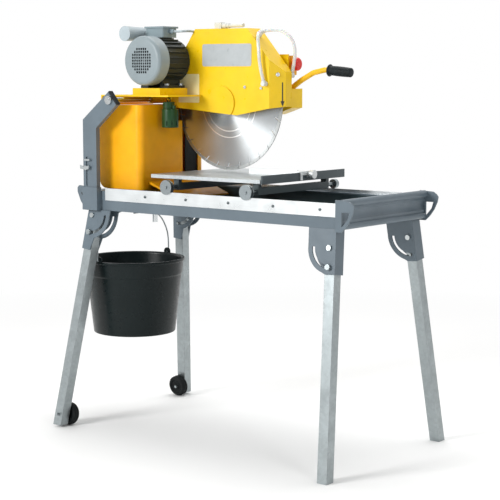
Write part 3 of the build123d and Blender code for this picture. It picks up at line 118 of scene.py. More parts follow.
def add_node(tree, kind, inputs=None, **settings):
    """Adds one node. inputs gives each socket a value, or another node's output to link."""
    made = tree.nodes.new(kind)
    for key, value in settings.items():
        setattr(made, key, value)
    for key, value in (inputs or {}).items():
        if isinstance(value, bpy.types.NodeSocket):
            tree.links.new(value, made.inputs[key])
        else:
            made.inputs[key].default_value = value
    return made


def new_material(name):
    """An empty node material, its tree and its Object coordinates."""
    material = bpy.data.materials.new(name)
    material.use_nodes = True
    material.node_tree.nodes.clear()
    tree = material.node_tree
    return material, tree, add_node(tree, "ShaderNodeTexCoord").outputs["Object"]


def spread(tree, value, low, high, start=0.3, end=0.7):
    """Maps a pattern from start..end to low..high."""
    return add_node(tree, "ShaderNodeMapRange", {
        "Value": value, "From Min": start, "From Max": end, "To Min": low, "To Max": high}).outputs[0]


def tones(tree, value, dark, light, start=0.3, end=0.7):
    """A colour between two, by a pattern."""
    share = spread(tree, value, 0.0, 1.0, start, end)
    mixed = add_node(tree, "ShaderNodeMix", {0: share, 6: dark, 7: light}, data_type="RGBA")
    return mixed.outputs[2]


def noise(tree, where, size, detail=3.0, rough=0.55):
    """Noise whose features are about size metres across."""
    return add_node(tree, "ShaderNodeTexNoise", {
        "Vector": where, "Scale": 1.0 / size, "Detail": detail, "Roughness": rough}).outputs[0]


def stretched(tree, where, factors):
    """Coordinates scaled along X, Y and Z."""
    return add_node(tree, "ShaderNodeMapping", {"Vector": where, "Scale": factors}).outputs[0]


def rounded(tree, radius):
    """Normal of an edge rounded to a radius."""
    return add_node(tree, "ShaderNodeBevel", {"Radius": radius}, samples=4).outputs[0]


def edge_mask(tree, radius):
    """1 on sharp edges and 0 elsewhere: one minus the dot product of the rounded and plain normals."""
    plain = add_node(tree, "ShaderNodeNewGeometry").outputs["Normal"]
    dot = add_node(tree, "ShaderNodeVectorMath", {0: rounded(tree, radius), 1: plain},
                   operation="DOT_PRODUCT")
    return spread(tree, dot.outputs["Value"], 1.0, 0.0, 0.86, 0.99)


def bumped(tree, height, distance, strength=0.5, radius=1.0 * MM):
    """Normal raised by a pattern, on edges rounded to a radius."""
    return add_node(tree, "ShaderNodeBump", {
        "Height": height, "Distance": distance, "Strength": strength,
        "Normal": rounded(tree, radius)}).outputs[0]


def shade(tree, colour, roughness, normal, **fixed):
    """The surface shader. Linked: colour, roughness and normal. Fixed: the rest."""
    inputs = {"Base Color": colour, "Roughness": roughness, "Normal": normal}
    inputs.update({key.replace("_", " "): value for key, value in fixed.items()})
    surface = add_node(tree, "ShaderNodeBsdfPrincipled", inputs)
    add_node(tree, "ShaderNodeOutputMaterial", {"Surface": surface.outputs[0]})
    return surface


# ---- finishes --------------------------------------------------------------------------
def powder_coat(name, colour, roughness=0.34, peel=1.6 * MM, wear="#8E9496", wear_share=0.5):
    """Sprayed and baked powder paint on sheet steel: fine orange peel, faint clouding, edges rubbed thin."""
    material, tree, where = new_material(name)
    cloud = noise(tree, where, 0.11)
    grime = noise(tree, where, 0.018, 5.0)
    base = tones(tree, cloud, linear(colour, 0.90), linear(colour, 1.05))
    base = add_node(tree, "ShaderNodeMix", {
        0: spread(tree, grime, 0.0, 0.10, 0.45, 0.8), 6: base, 7: linear(colour, 0.55)},
        data_type="RGBA").outputs[2]
    patch = spread(tree, noise(tree, where, 0.009, 4.0), 0.0, 1.0, 0.48, 0.62)
    worn = add_node(tree, "ShaderNodeMath", {0: edge_mask(tree, 1.0 * MM), 1: patch}, operation="MULTIPLY")
    worn = add_node(tree, "ShaderNodeMath", {0: worn.outputs[0], 1: wear_share}, operation="MULTIPLY")
    base = add_node(tree, "ShaderNodeMix", {0: worn.outputs[0], 6: base, 7: linear(wear)}, data_type="RGBA")
    rough = spread(tree, noise(tree, where, 0.03, 4.0), roughness - 0.06, roughness + 0.10)
    normal = bumped(tree, noise(tree, where, peel, 2.0), 0.12 * MM, 0.35)
    shade(tree, base.outputs[2], rough, normal, Coat_Weight=0.06, Coat_Roughness=0.12, IOR=1.5,
          Specular_IOR_Level=0.4)
    return material


def galvanised_steel(name, colour, roughness=0.38):
    """Hot-dip zinc on steel tube: faint spangle, drawn streaks and dull patches."""
    material, tree, where = new_material(name)
    spangle = add_node(tree, "ShaderNodeTexVoronoi", {"Vector": where, "Scale": 1.0 / 0.009}).outputs["Color"]
    flake = add_node(tree, "ShaderNodeSeparateColor", {0: spangle}).outputs[0]
    cloud = noise(tree, where, 0.06, 4.0)
    base = tones(tree, flake, linear(colour, 0.86), linear(colour, 1.0), 0.0, 1.0)
    base = add_node(tree, "ShaderNodeMix", {
        0: spread(tree, cloud, 0.0, 0.35), 6: base, 7: linear(colour, 0.66)}, data_type="RGBA").outputs[2]
    rough = spread(tree, cloud, roughness - 0.08, roughness + 0.12)
    streak = noise(tree, stretched(tree, where, (1.0, 1.0, 0.04)), 1.4 * MM, 3.0)
    normal = bumped(tree, streak, 0.08 * MM, 0.3, 1.5 * MM)
    shade(tree, base, rough, normal, Metallic=0.85)
    return material


def brushed_stainless(name, colour, factors, roughness=0.30):
    """Stainless strip with a belt-ground grain along its length: long fine lines, half a millimetre apart."""
    material, tree, where = new_material(name)
    grain = noise(tree, stretched(tree, where, factors), 0.8 * MM, 4.0, 0.7)
    smear = noise(tree, where, 0.05, 4.0)
    base = tones(tree, grain, linear(colour, 0.90), linear(colour, 1.0))
    rough = spread(tree, smear, roughness - 0.05, roughness + 0.10)
    shade(tree, base, rough, bumped(tree, grain, 0.05 * MM, 0.35), Metallic=0.9)
    return material


def bright_steel(name, colour, roughness=0.18, metallic=1.0):
    """Turned or plated steel: nearly smooth, with faint handling marks."""
    material, tree, where = new_material(name)
    marks = noise(tree, where, 3.0 * MM, 5.0, 0.6)
    base = tones(tree, marks, linear(colour, 0.86), linear(colour, 1.0))
    rough = spread(tree, marks, roughness - 0.04, roughness + 0.10)
    shade(tree, base, rough, bumped(tree, marks, 0.03 * MM, 0.25, 0.5 * MM), Metallic=metallic)
    return material


def ground_blade_steel(name, colour, centre):
    """Ground disc of a diamond blade: grinder's rings, two polished marks, dark sintered rim segments, and a
    painted fan of highlight and shade in four lobes round the centre.
    """
    material, tree, where = new_material(name)
    offset = add_node(tree, "ShaderNodeVectorMath", {0: where, 1: centre}, operation="SUBTRACT").outputs[0]
    radius = add_node(tree, "ShaderNodeVectorMath", {0: offset}, operation="LENGTH").outputs["Value"]
    rings = add_node(tree, "ShaderNodeTexNoise", {"W": radius, "Scale": 1400.0, "Detail": 3.0},
                     noise_dimensions="1D").outputs[0]
    wet = noise(tree, where, 0.045, 5.0)
    base = tones(tree, rings, linear(colour, 0.84), linear(colour, 1.0))
    # Painted highlight and shade: the colour darkens in four lobes round the blade's centre, a fan that
    # stands in for the light the ground rings catch.
    parts = add_node(tree, "ShaderNodeSeparateXYZ", {0: offset}).outputs
    turn = add_node(tree, "ShaderNodeMath", {0: parts[0], 1: parts[2]}, operation="ARCTAN2").outputs[0]
    painted_fan_shade = add_node(tree, "ShaderNodeMath", {0: turn, 1: 4.0, 2: math.pi / 2},
                     operation="MULTIPLY_ADD").outputs[0]
    painted_fan_shade = add_node(tree, "ShaderNodeMath", {0: painted_fan_shade}, operation="SINE").outputs[0]
    base = add_node(tree, "ShaderNodeMix", {
        0: spread(tree, painted_fan_shade, 0.0, 0.55, -0.6, 1.0), 6: base, 7: linear(colour, 0.35)},
        data_type="RGBA").outputs[2]
    base = add_node(tree, "ShaderNodeMix", {
        0: spread(tree, wet, 0.0, 0.35), 6: base, 7: linear(colour, 0.62)}, data_type="RGBA").outputs[2]
    for mark in BLADE_MARKS:
        near = add_node(tree, "ShaderNodeMath", {0: radius, 1: mark, 2: BLADE_MARK_HALF},
                        operation="COMPARE").outputs[0]
        base = add_node(tree, "ShaderNodeMix", {0: near, 6: base, 7: linear("#F6F8F8")},
                        data_type="RGBA").outputs[2]
    rim = add_node(tree, "ShaderNodeMath", {0: radius, 1: BLADE_DISC_RADIUS},
                   operation="GREATER_THAN").outputs[0]
    grit = noise(tree, where, 1.2 * MM, 2.0)
    segment = tones(tree, grit, linear("#7D8182"), linear("#C9CCCB"))
    base = add_node(tree, "ShaderNodeMix", {0: rim, 6: base, 7: segment}, data_type="RGBA").outputs[2]
    rough = add_node(tree, "ShaderNodeMath", {0: rim, 1: 0.28, 2: 0.24}, operation="MULTIPLY_ADD").outputs[0]
    height = add_node(tree, "ShaderNodeMath", {0: rings, 1: 0.3}, operation="MULTIPLY").outputs[0]
    round_axis = add_node(tree, "ShaderNodeTangent", direction_type="RADIAL", axis="Y").outputs[0]
    shade(tree, base, rough, bumped(tree, height, 0.05 * MM, 0.3, 0.3 * MM),
          Metallic=0.95, Anisotropic=0.85, Tangent=round_axis)
    return material


def moulded_plastic(name, colour, roughness=0.42, grain=1.1 * MM, depth=0.10 * MM, glow=0.0, coat=0.0,
                    gloss=0.3):
    """Injection or rotation moulded plastic: a fine even texture with soft flow clouds."""
    material, tree, where = new_material(name)
    flow = noise(tree, where, 0.09, 3.0)
    base = tones(tree, flow, linear(colour, 0.88), linear(colour, 1.06))
    rough = spread(tree, noise(tree, where, 0.02, 4.0), roughness - 0.06, roughness + 0.10)
    normal = bumped(tree, noise(tree, where, grain, 2.0), depth, 0.4, 1.5 * MM)
    shade(tree, base, rough, normal, IOR=1.49, Coat_Weight=coat, Coat_Roughness=0.1, Specular_IOR_Level=gloss,
          Subsurface_Weight=glow, Subsurface_Scale=0.004)
    return material


def black_rubber(name, colour, roughness=0.62):
    """Vulcanised rubber: dull black, dusty in patches."""
    material, tree, where = new_material(name)
    dust = noise(tree, where, 0.014, 5.0)
    base = tones(tree, dust, linear(colour), linear(colour, 2.1), 0.45, 0.85)
    rough = spread(tree, dust, roughness - 0.08, roughness + 0.12)
    shade(tree, base, rough, bumped(tree, noise(tree, where, 0.9 * MM, 3.0), 0.15 * MM, 0.5), IOR=1.52,
          Specular_IOR_Level=0.22)
    return material


def clear_hose(name, colour):
    """Soft clear PVC tube with water haze: milky, partly see-through, glossy."""
    material, tree, where = new_material(name)
    haze = noise(tree, where, 0.012, 4.0)
    base = tones(tree, haze, linear(colour, 0.88), linear(colour, 1.0))
    rough = spread(tree, haze, 0.10, 0.24)
    shade(tree, base, rough, bumped(tree, haze, 0.1 * MM, 0.2), IOR=1.53,
          Transmission_Weight=0.35, Subsurface_Weight=0.3, Subsurface_Scale=0.003, Coat_Weight=0.4)
    return material


def printed_film(name, colour):
    """Blank polyester film, slightly scuffed."""
    material, tree, where = new_material(name)
    scuff = noise(tree, where, 0.02, 5.0)
    base = tones(tree, scuff, linear(colour, 0.93), linear(colour, 1.0))
    shade(tree, base, spread(tree, scuff, 0.25, 0.42), bumped(tree, scuff, 0.05 * MM, 0.2, 0.2 * MM), IOR=1.6)
    return material


def studio_floor(name, colour):
    """Matt painted studio board with a very faint mottle, running out into a white paper backdrop that glows.
    """
    material, tree, where = new_material(name)
    mottle = noise(tree, where, 0.6, 3.0)
    base = tones(tree, mottle, linear(colour, 0.985), linear(colour, 1.0))
    surface = add_node(tree, "ShaderNodeBsdfPrincipled", {
        "Base Color": base, "Roughness": spread(tree, mottle, 0.6, 0.7), "Specular IOR Level": 0.1})
    paper = add_node(tree, "ShaderNodeEmission", {"Color": (1.0, 1.0, 1.0, 1.0), "Strength": 1.0})
    away = add_node(tree, "ShaderNodeVectorMath", {0: where}, operation="LENGTH").outputs["Value"]
    share = spread(tree, away, 0.0, 1.0, 1.0, 3.4)
    mixed = add_node(tree, "ShaderNodeMixShader", {0: share, 1: surface.outputs[0], 2: paper.outputs[0]})
    add_node(tree, "ShaderNodeOutputMaterial", {"Surface": mixed.outputs[0]})
    return material


# ---- shapes ----------------------------------------------------------------------------
def mesh_piece(name, points, faces, material, body):
    """A mesh object from whole arrays, with its finish, moving with a CAD body."""
    mesh = bpy.data.meshes.new(name)
    mesh.from_pydata(points.tolist(), [], faces.tolist())
    mesh.materials.append(material)
    mesh.polygons.foreach_set("use_smooth", np.ones(len(mesh.polygons), bool))
    mesh.update()
    piece = bpy.data.objects.new(name, mesh)
    bpy.context.scene.collection.objects.link(piece)
    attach(piece, body)
    return piece


def grid_faces(rows, columns):
    """Quads of a grid whose points run row by row and close round each row."""
    i, k = np.meshgrid(np.arange(rows - 1), np.arange(columns), indexing="ij")
    nxt = (k + 1) % columns
    quads = np.stack([i * columns + k, i * columns + nxt, (i + 1) * columns + nxt, (i + 1) * columns + k], -1)
    return quads.reshape(-1, 4)


def turned(profile, centre, axis, sides=96):
    """A lathe shape: point(s, t) = centre + axis * h(s) + r(s) * (u cos t + v sin t)."""
    axis = np.asarray(axis, float) / np.linalg.norm(axis)
    side = np.cross(axis, (0.0, 0.0, 1.0) if abs(axis[2]) < 0.9 else (1.0, 0.0, 0.0))
    side /= np.linalg.norm(side)
    other = np.cross(axis, side)
    t = np.linspace(0.0, 2 * math.pi, sides, endpoint=False)
    ring = np.outer(np.cos(t), side) + np.outer(np.sin(t), other)
    profile = np.asarray(profile, float)
    points = centre + profile[:, 1, None, None] * axis + profile[:, 0, None, None] * ring
    return points.reshape(-1, 3), grid_faces(len(profile), sides)


def rounded_profile(corners, radius, steps=5):
    """A profile of (r, h) corners, each cut by a quadratic curve: (1-s)^2 a + 2s(1-s) b + s^2 c."""
    corners = np.asarray(corners, float)
    out = [corners[0]]
    s = np.linspace(0.0, 1.0, steps)[:, None]
    for a, b, c in zip(corners, corners[1:], corners[2:]):
        before, after = a - b, c - b
        cut = min(radius, 0.45 * np.linalg.norm(before), 0.45 * np.linalg.norm(after))
        p = b + before / max(np.linalg.norm(before), 1e-9) * cut
        q = b + after / max(np.linalg.norm(after), 1e-9) * cut
        out.extend((1 - s) ** 2 * p + 2 * s * (1 - s) * b + s ** 2 * q)
    out.append(corners[-1])
    return np.array(out)


def plate(name, centre, width, height, thick, corner, right, up, material, body):
    """A thin rounded plate. Outline: corner centres plus corner * (cos t, sin t); two rims and two caps."""
    t = np.linspace(0.0, 2 * math.pi, 32, endpoint=False)
    x = np.sign(np.cos(t + 1e-6)) * (width / 2 - corner) + corner * np.cos(t)
    z = np.sign(np.sin(t + 1e-6)) * (height / 2 - corner) + corner * np.sin(t)
    right, up = np.asarray(right, float), np.asarray(up, float)
    out = np.cross(right, up)
    flat = centre + np.outer(x, right) + np.outer(z, up)
    points = np.concatenate([flat, flat + out * thick])
    count = len(t)
    k = np.arange(count)
    faces = np.stack([k, (k + 1) % count, (k + 1) % count + count, k + count], -1)
    mesh = bpy.data.meshes.new(name)
    caps = [list(range(count))[::-1], list(range(count, 2 * count))]
    mesh.from_pydata(points.tolist(), [], faces.tolist() + caps)
    mesh.materials.append(material)
    piece = bpy.data.objects.new(name, mesh)
    bpy.context.scene.collection.objects.link(piece)
    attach(piece, body)
    return piece


def hose(name, points, radius, material, body, node):
    """A NURBS tube through the hose's run, going back into the machine; it hides the CAD node it stands in
    for.
    """
    curve = bpy.data.curves.new(name, "CURVE")
    curve.dimensions = "3D"
    curve.bevel_depth = radius
    curve.bevel_resolution = 6
    curve.resolution_u = 16
    curve.use_fill_caps = True
    spline = curve.splines.new("NURBS")
    spline.points.add(len(points) - 1)
    spline.points.foreach_set("co", np.column_stack([points, np.ones(len(points))]).ravel())
    spline.order_u = 3
    spline.use_endpoint_u = True
    curve.materials.append(material)
    piece = bpy.data.objects.new(name, curve)
    bpy.context.scene.collection.objects.link(piece)
    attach(piece, body)
    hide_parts(node)
    return piece


def smooth_copy(node, material, angle=32.0):
    """A copy of a CAD node, in its place, with doubles merged and round faces shaded smooth."""
    source = NODES[node]
    mesh = source.data.copy()
    mesh.name = node + "_skin"
    merge_doubles(mesh)
    mesh.materials.clear()
    mesh.materials.append(material)
    mesh.polygons.foreach_set("use_smooth", np.ones(len(mesh.polygons), bool))
    mesh.set_sharp_from_angle(angle=math.radians(angle))
    piece = bpy.data.objects.new(node + "_skin", mesh)
    bpy.context.scene.collection.objects.link(piece)
    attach(piece, source["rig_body"])
    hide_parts(node)
    return piece


def merge_doubles(mesh):
    """Merges a mesh's doubled points in place, and drops the normals that no longer fit."""
    work = bmesh.new()
    work.from_mesh(mesh)
    bmesh.ops.remove_doubles(work, verts=work.verts, dist=2e-6)
    work.to_mesh(mesh)
    work.free()
    if mesh.has_custom_normals:
        mesh.attributes.remove(mesh.attributes["custom_normal"])


def finish_nodes(material, names):
    """Gives CAD nodes one finish, on smooth copies."""
    for name in names:
        smooth_copy(name, material)


# ---- settings --------------------------------------------------------------------------
def colour_property(name, description, hex_colour):
    """A colour setting."""
    return bpy.props.FloatVectorProperty(
        name=name, description=description, subtype="COLOR", size=4, min=0.0, max=1.0,
        default=linear(hex_colour))


class SawFinishes(bpy.types.PropertyGroup):
    """Colours that an owner might change."""

    guard_yellow: colour_property("Guard yellow", "Powder coat of the guard and head", "#F2C808")
    hood_amber: colour_property("Hood amber", "Moulded splash hood", "#F0A903")
    frame_grey: colour_property("Frame grey", "Powder coat of the frame", "#5F6C75")
    bucket_black: colour_property("Bucket", "Moulded bucket", "#0D1819")
    pump_green: colour_property("Pump", "Moulded pump body", "#123F1A")


class SawSizes(bpy.types.PropertyGroup):
    """Sizes of the pieces that are made here."""

    hose_radius: bpy.props.FloatProperty(
        name="Hose radius", description="Outside radius of the water hoses", default=5.5 * MM, unit="LENGTH")
    lead_radius: bpy.props.FloatProperty(
        name="Lead radius", description="Outside radius of the motor lead", default=4.0 * MM, unit="LENGTH")
    wheel_radius: bpy.props.FloatProperty(
        name="Wheel radius", description="Tread radius of the floor wheels", default=38.0 * MM, unit="LENGTH")
    wheel_width: bpy.props.FloatProperty(
        name="Wheel width", description="Width of the floor wheels", default=28.0 * MM, unit="LENGTH")


# ---- operators -------------------------------------------------------------------------
class SAW_OT_frame_finish(bpy.types.Operator):
    """Paints the frame, columns, brackets and pan, and plates the runners and bolts"""

    bl_idname = "saw.frame_finish"
    bl_label = "Frame finish"

    def execute(self, context):
        grey = context.scene.saw_finishes.frame_grey
        finish_nodes(powder_coat("grey_powder_coat", grey, 0.40), [
            "side_rails", "rear_cross_member", "end_trough", "carry_lugs", "column_posts", "column_sleeves",
            "columns", "leg_brackets", "bucket_hook"])
        finish_nodes(powder_coat("dark_pan_enamel", "#35464B", 0.36), ["water_pan"])
        finish_nodes(brushed_stainless("stainless_runner", "#E4E8E9", (0.02, 1.0, 1.0)), ["runner_strips"])
        finish_nodes(bright_steel("zinc_plated_bolts", "#C4CACB", 0.28), ["leg_pivot_bolts", "height_clamps"])
        finish_nodes(bright_steel("blackened_screws", "#6C7476", 0.34), ["runner_screws"])
        finish_nodes(bright_steel("chrome_plate", "#E1E5E6", 0.12), ["drain_pipe", "pivot_shaft"])
        finish_nodes(moulded_plastic("black_end_caps", "#1A1D1F", 0.5), ["column_caps"])
        finish_nodes(black_rubber("splash_rubber", "#101415"), ["rubber_flap"])
        return {"FINISHED"}


class SAW_OT_hood_finish(bpy.types.Operator):
    """Gives the splash hood its moulded plastic"""

    bl_idname = "saw.hood_finish"
    bl_label = "Splash hood"

    def execute(self, context):
        amber = moulded_plastic("amber_polyethylene", context.scene.saw_finishes.hood_amber, 0.36, glow=0.08)
        finish_nodes(amber, ["splash_hood"])
        return {"FINISHED"}


class SAW_OT_head_finish(bpy.types.Operator):
    """Paints the swing head, guard, motor and controls"""

    bl_idname = "saw.head_finish"
    bl_label = "Swing head"

    def execute(self, context):
        yellow = context.scene.saw_finishes.guard_yellow
        finish_nodes(powder_coat("yellow_powder_coat", yellow, 0.32, wear="#D9C27A", wear_share=0.3), [
            "blade_guard", "belt_cover", "head_arm", "motor_plate"])
        finish_nodes(powder_coat("yellow_handle_coat", "#EDB80E", 0.34, wear_share=0.2), ["handle_tube"])
        finish_nodes(powder_coat("motor_casting_paint", "#1D2627", 0.46, 2.4 * MM), ["motor_housing"])
        finish_nodes(powder_coat("fan_cowl_paint", "#8B979B", 0.40), ["fan_cover"])
        finish_nodes(powder_coat("terminal_box_paint", "#84959B", 0.42), ["terminal_box"])
        finish_nodes(powder_coat("capacitor_can_paint", "#A9B5BA", 0.38), ["capacitor"])
        finish_nodes(moulded_plastic("fan_plastic", "#15181A"), ["cooling_fan"])
        finish_nodes(bright_steel("head_bolts", "#C9CED0", 0.26), ["head_screws"])
        finish_nodes(bright_steel("ground_shafts", "#C2C7C9", 0.2), [
            "blade_spindle", "motor_shaft", "spindle_bearings", "blade_flanges"])
        finish_nodes(powder_coat("cast_iron_pulleys", "#4D5456", 0.5), ["drive_pulley", "driven_pulley"])
        finish_nodes(black_rubber("belt_rubber", "#17191A"), ["drive_belt"])
        finish_nodes(moulded_plastic("switch_shell", "#E9A912", 0.35, coat=0.2), ["switch_box"])
        finish_nodes(moulded_plastic("red_button", "#D2140B", 0.24, depth=0.02 * MM, coat=0.5),
                     ["stop_button"])
        finish_nodes(moulded_plastic("white_fittings", "#D9DCD8", 0.3, coat=0.3), ["water_fittings"])
        green = context.scene.saw_finishes.pump_green
        finish_nodes(moulded_plastic("green_pump_body", green, 0.38, coat=0.2), ["water_pump"])
        return {"FINISHED"}


class SAW_OT_blade_finish(bpy.types.Operator):
    """Grinds the blade and marks its rings"""

    bl_idname = "saw.blade_finish"
    bl_label = "Blade"

    def execute(self, context):
        centre = JOINTS["blade_spin"]["pos_m"]
        finish_nodes(ground_blade_steel("ground_blade_steel", "#D3D8DA", centre), ["saw_blade"])
        return {"FINISHED"}


class SAW_OT_table_finish(bpy.types.Operator):
    """Finishes the rolling table, fence, rollers and side stop"""

    bl_idname = "saw.table_finish"
    bl_label = "Rolling table"

    def execute(self, context):
        finish_nodes(galvanised_steel("galvanised_table", "#C4CACC", 0.42), ["table_top"])
        finish_nodes(powder_coat("carriage_paint", "#4C585B", 0.4), ["carriage_frame"])
        # The fence bar's dark grey is painted shade: it stands in for the shadow on the bar's end face.
        finish_nodes(powder_coat("fence_painted_shade_grey", "#4B565A", 0.4), ["fence_bar"])
        finish_nodes(bright_steel("turned_rollers", "#99A1A4", 0.3), ["left_wheelset", "right_wheelset"])
        finish_nodes(bright_steel("stop_plate_steel", "#ECEFEF", 0.35, 0.7), ["parallel_stop"])
        return {"FINISHED"}


class SAW_OT_legs_finish(bpy.types.Operator):
    """Galvanises the legs and turns the two floor wheels"""

    bl_idname = "saw.legs_finish"
    bl_label = "Legs and wheels"

    def execute(self, context):
        sizes = context.scene.saw_sizes
        finish_nodes(galvanised_steel("galvanised_leg", "#A8B0B2", 0.34), [
            "near_right_leg", "far_right_leg", "near_left_leg", "far_left_leg"])
        rubber = black_rubber("wheel_rubber", "#0A0F10")
        r, w = sizes.wheel_radius, sizes.wheel_width / 2
        bore = 5.2 * MM
        half = [(bore, w - 1 * MM), (11 * MM, w - 1 * MM), (12 * MM, w - 5 * MM), (r - 14 * MM, w - 5 * MM),
                (r - 12 * MM, w), (r - 5 * MM, w), (r, w - 5 * MM), (r, 2 * MM), (r - 1.2 * MM, 0.9 * MM)]
        outline = [(a, -b) for a, b in half] + half[::-1]
        profile = rounded_profile(outline + [outline[0]], 2.2 * MM, 4)
        for side in ("near", "far"):
            joint = JOINTS[side + "_wheel_roll"]
            points, faces = turned(profile, np.array(joint["pos_m"]), joint["axis"])
            wheel = mesh_piece(side + "_floor_wheel", points, faces, rubber, side + "_wheel")
            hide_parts(side + "_wheel")
        return {"FINISHED"}


class SAW_OT_bucket(bpy.types.Operator):
    """Turns the bucket with its collar and rolled rim, and its wire bail"""

    bl_idname = "saw.bucket"
    bl_label = "Bucket"

    def execute(self, context):
        colour = context.scene.saw_finishes.bucket_black
        black = moulded_plastic("black_mortar_bucket", colour, 0.30, 1.6 * MM, gloss=0.22)
        low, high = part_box("bucket")
        pin = JOINTS["bail_swing"]["pos_m"]
        centre = np.array((pin[0], pin[1], low[2]))
        height = 262 * MM
        base, top, wall = 144 * MM, 172 * MM, 3 * MM
        slope = (top - base) / (height - 12 * MM)
        collar = height - 58 * MM
        lip, brim = height - 9 * MM, top + 6.8 * MM
        outer = [(0.0, 2 * MM), (base - 20 * MM, 2 * MM), (base - 16 * MM, 0.0), (base, 0.0)]
        outer += [(base + slope * collar, collar), (base + slope * collar + 3 * MM, height - 54 * MM),
                  (top + 1.5 * MM, height - 16 * MM), (top + 2 * MM, lip), (brim, lip),
                  (brim, height), (top - 2 * MM, height)]
        inner = [(top - 2 * MM - wall, height - 6 * MM), (base - wall, wall + 1 * MM), (0.0, wall + 1 * MM)]
        points, faces = turned(rounded_profile(outer + inner, 2.5 * MM, 4), centre, (0, 0, 1), 128)
        pail = mesh_piece("mortar_bucket", points, faces, black, "bucket")
        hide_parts("bucket")
        ear_z = JOINTS["bucket_tilt"]["pos_m"][2]
        boss = [(2.9 * MM, -2 * MM), (13.5 * MM, -2 * MM), (13.5 * MM, 4.8 * MM), (2.9 * MM, 4.8 * MM)]
        boss = rounded_profile(boss + boss[:1], 1.2 * MM, 4)
        for side, tag in ((-1, "near"), (1, "far")):
            spot = np.array((centre[0], centre[1] + side * 174 * MM, ear_z))
            points, faces = turned(boss, spot, (0, side, 0), 48)
            mesh_piece("bucket_ear_" + tag, points, faces, black, "bucket")
        finish_nodes(bright_steel("galvanised_bail_wire", "#AEB5B8", 0.35), ["bucket_bail"])
        return {"FINISHED"}


class SAW_OT_hoses(bpy.types.Operator):
    """Runs the two water hoses and the motor lead"""

    bl_idname = "saw.hoses"
    bl_label = "Hoses and lead"

    def execute(self, context):
        sizes = context.scene.saw_sizes
        clear = clear_hose("clear_pvc_hose", "#F1F4F2")
        grey = black_rubber("grey_lead_sheath", "#9AA3A6", 0.5)
        near = np.array([(70, 0, 1342), (81, -17, 1328), (89, -24, 1300), (92, -25, 1268), (95, -24, 1234),
                         (105, -19, 1186)], float)
        far = np.array([(98, 48, 1353), (132, 58, 1346), (157, 67, 1322), (166, 73, 1290), (160, 77, 1252),
                        (151, 77, 1213)], float)
        lead = np.array([(-251, -50, 1350), (-221, -50, 1350), (-200, -24, 1352), (-218, 22, 1349),
                         (-224, 62, 1340), (-213, 96, 1318), (-172, 104, 1288), (-104, 104, 1262),
                         (-24, 104, 1246), (40, 105, 1240), (88, 105, 1240)], float)
        for name, run, node in (("near_water_hose", near, "near_hose"), ("far_water_hose", far, "far_hose")):
            toward = run[0] - BRANCH
            start = BRANCH + BRANCH_STUB * toward / np.linalg.norm(toward)
            points = (np.vstack([start, run]) + ROW_SHIFT) * MM
            hose(name, points, sizes.hose_radius, clear, "saw_head", node)
        hose("motor_supply_lead", (lead + ROW_SHIFT) * MM, sizes.lead_radius, grey, "saw_head", "motor_lead")
        return {"FINISHED"}


class SAW_OT_grip(bpy.types.Operator):
    """Moulds the ribbed hand grip"""

    bl_idname = "saw.grip"
    bl_label = "Hand grip"

    def execute(self, context):
        rubber = black_rubber("grip_rubber", "#171E20", 0.5)
        along = GRIP_END - GRIP_START
        length = float(np.linalg.norm(along))
        h = np.linspace(4 * MM, length - 3 * MM, 220)
        ribs = np.abs(np.sin(math.pi * h / (5.4 * MM))) ** 0.6 * 1.6 * MM
        swell = 13.4 * MM + 1.2 * MM * np.sin(math.pi * h / length)
        r = swell + ribs
        start = [(9.1 * MM, 0.0), (19 * MM, 0.0), (20 * MM, 1.5 * MM), (19 * MM, 3.2 * MM)]
        end = [(14 * MM, length - 1 * MM), (9 * MM, length), (0.0, length)]
        profile = np.array(start + list(zip(r, h)) + end)
        points, faces = turned(profile, GRIP_START, along, 64)
        grip = mesh_piece("ribbed_hand_grip", points, faces, rubber, "saw_head")
        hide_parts("handle_grip")
        return {"FINISHED"}


class SAW_OT_plates(bpy.types.Operator):
    """Fixes the blank plates and the rotation arrow to the guard"""

    bl_idname = "saw.plates"
    bl_label = "Plates"

    def execute(self, context):
        blank = printed_film("blank_type_plate", "#AEB4B6")
        label = printed_film("blank_cream_label", "#FBF0B8")
        ink = printed_film("arrow_ink", "#1D1B14")
        x_way, z_way = (1, 0, 0), (0, 0, 1)
        type_place = np.array((-43 * MM, NEAR_PANEL, 1270 * MM))
        label_place = np.array((-209 * MM, NEAR_PANEL, 1160 * MM))
        plate("blank_type_plate", type_place, 210 * MM, 74 * MM, 0.8 * MM, 8 * MM, x_way, z_way, blank,
              "saw_head")
        plate("blank_side_label", label_place, 92 * MM, 96 * MM, 0.4 * MM, 4 * MM, x_way, z_way, label,
              "saw_head")
        run = np.array((35.0, 44.0, 0.0))               # along the guard's slanted right face
        slope = run / math.hypot(run[0], run[1])
        face_start = np.array((135.0, -7.0, 1150.0))    # where that face leaves the near one
        middle = (face_start + 0.80 * run) * MM
        plate("arrow_shaft", middle, 4 * MM, 62 * MM, 0.3 * MM, 1.5 * MM, slope, z_way, ink, "saw_head")
        tip = np.array([(-7.0, -30.0), (7.0, -30.0), (0.0, -48.0)]) * MM
        out = np.cross(slope, z_way)
        flat = middle + np.outer(tip[:, 0], slope) + np.outer(tip[:, 1], z_way)
        points = np.concatenate([flat, flat + out * 0.3 * MM])
        mesh = bpy.data.meshes.new("arrow_head")
        faces = [[0, 1, 2], [5, 4, 3], [0, 3, 4, 1], [1, 4, 5, 2], [2, 5, 3, 0]]
        mesh.from_pydata(points.tolist(), [], faces)
        mesh.materials.append(ink)
        head = bpy.data.objects.new("arrow_head", mesh)
        context.scene.collection.objects.link(head)
        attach(head, "saw_head")
        return {"FINISHED"}


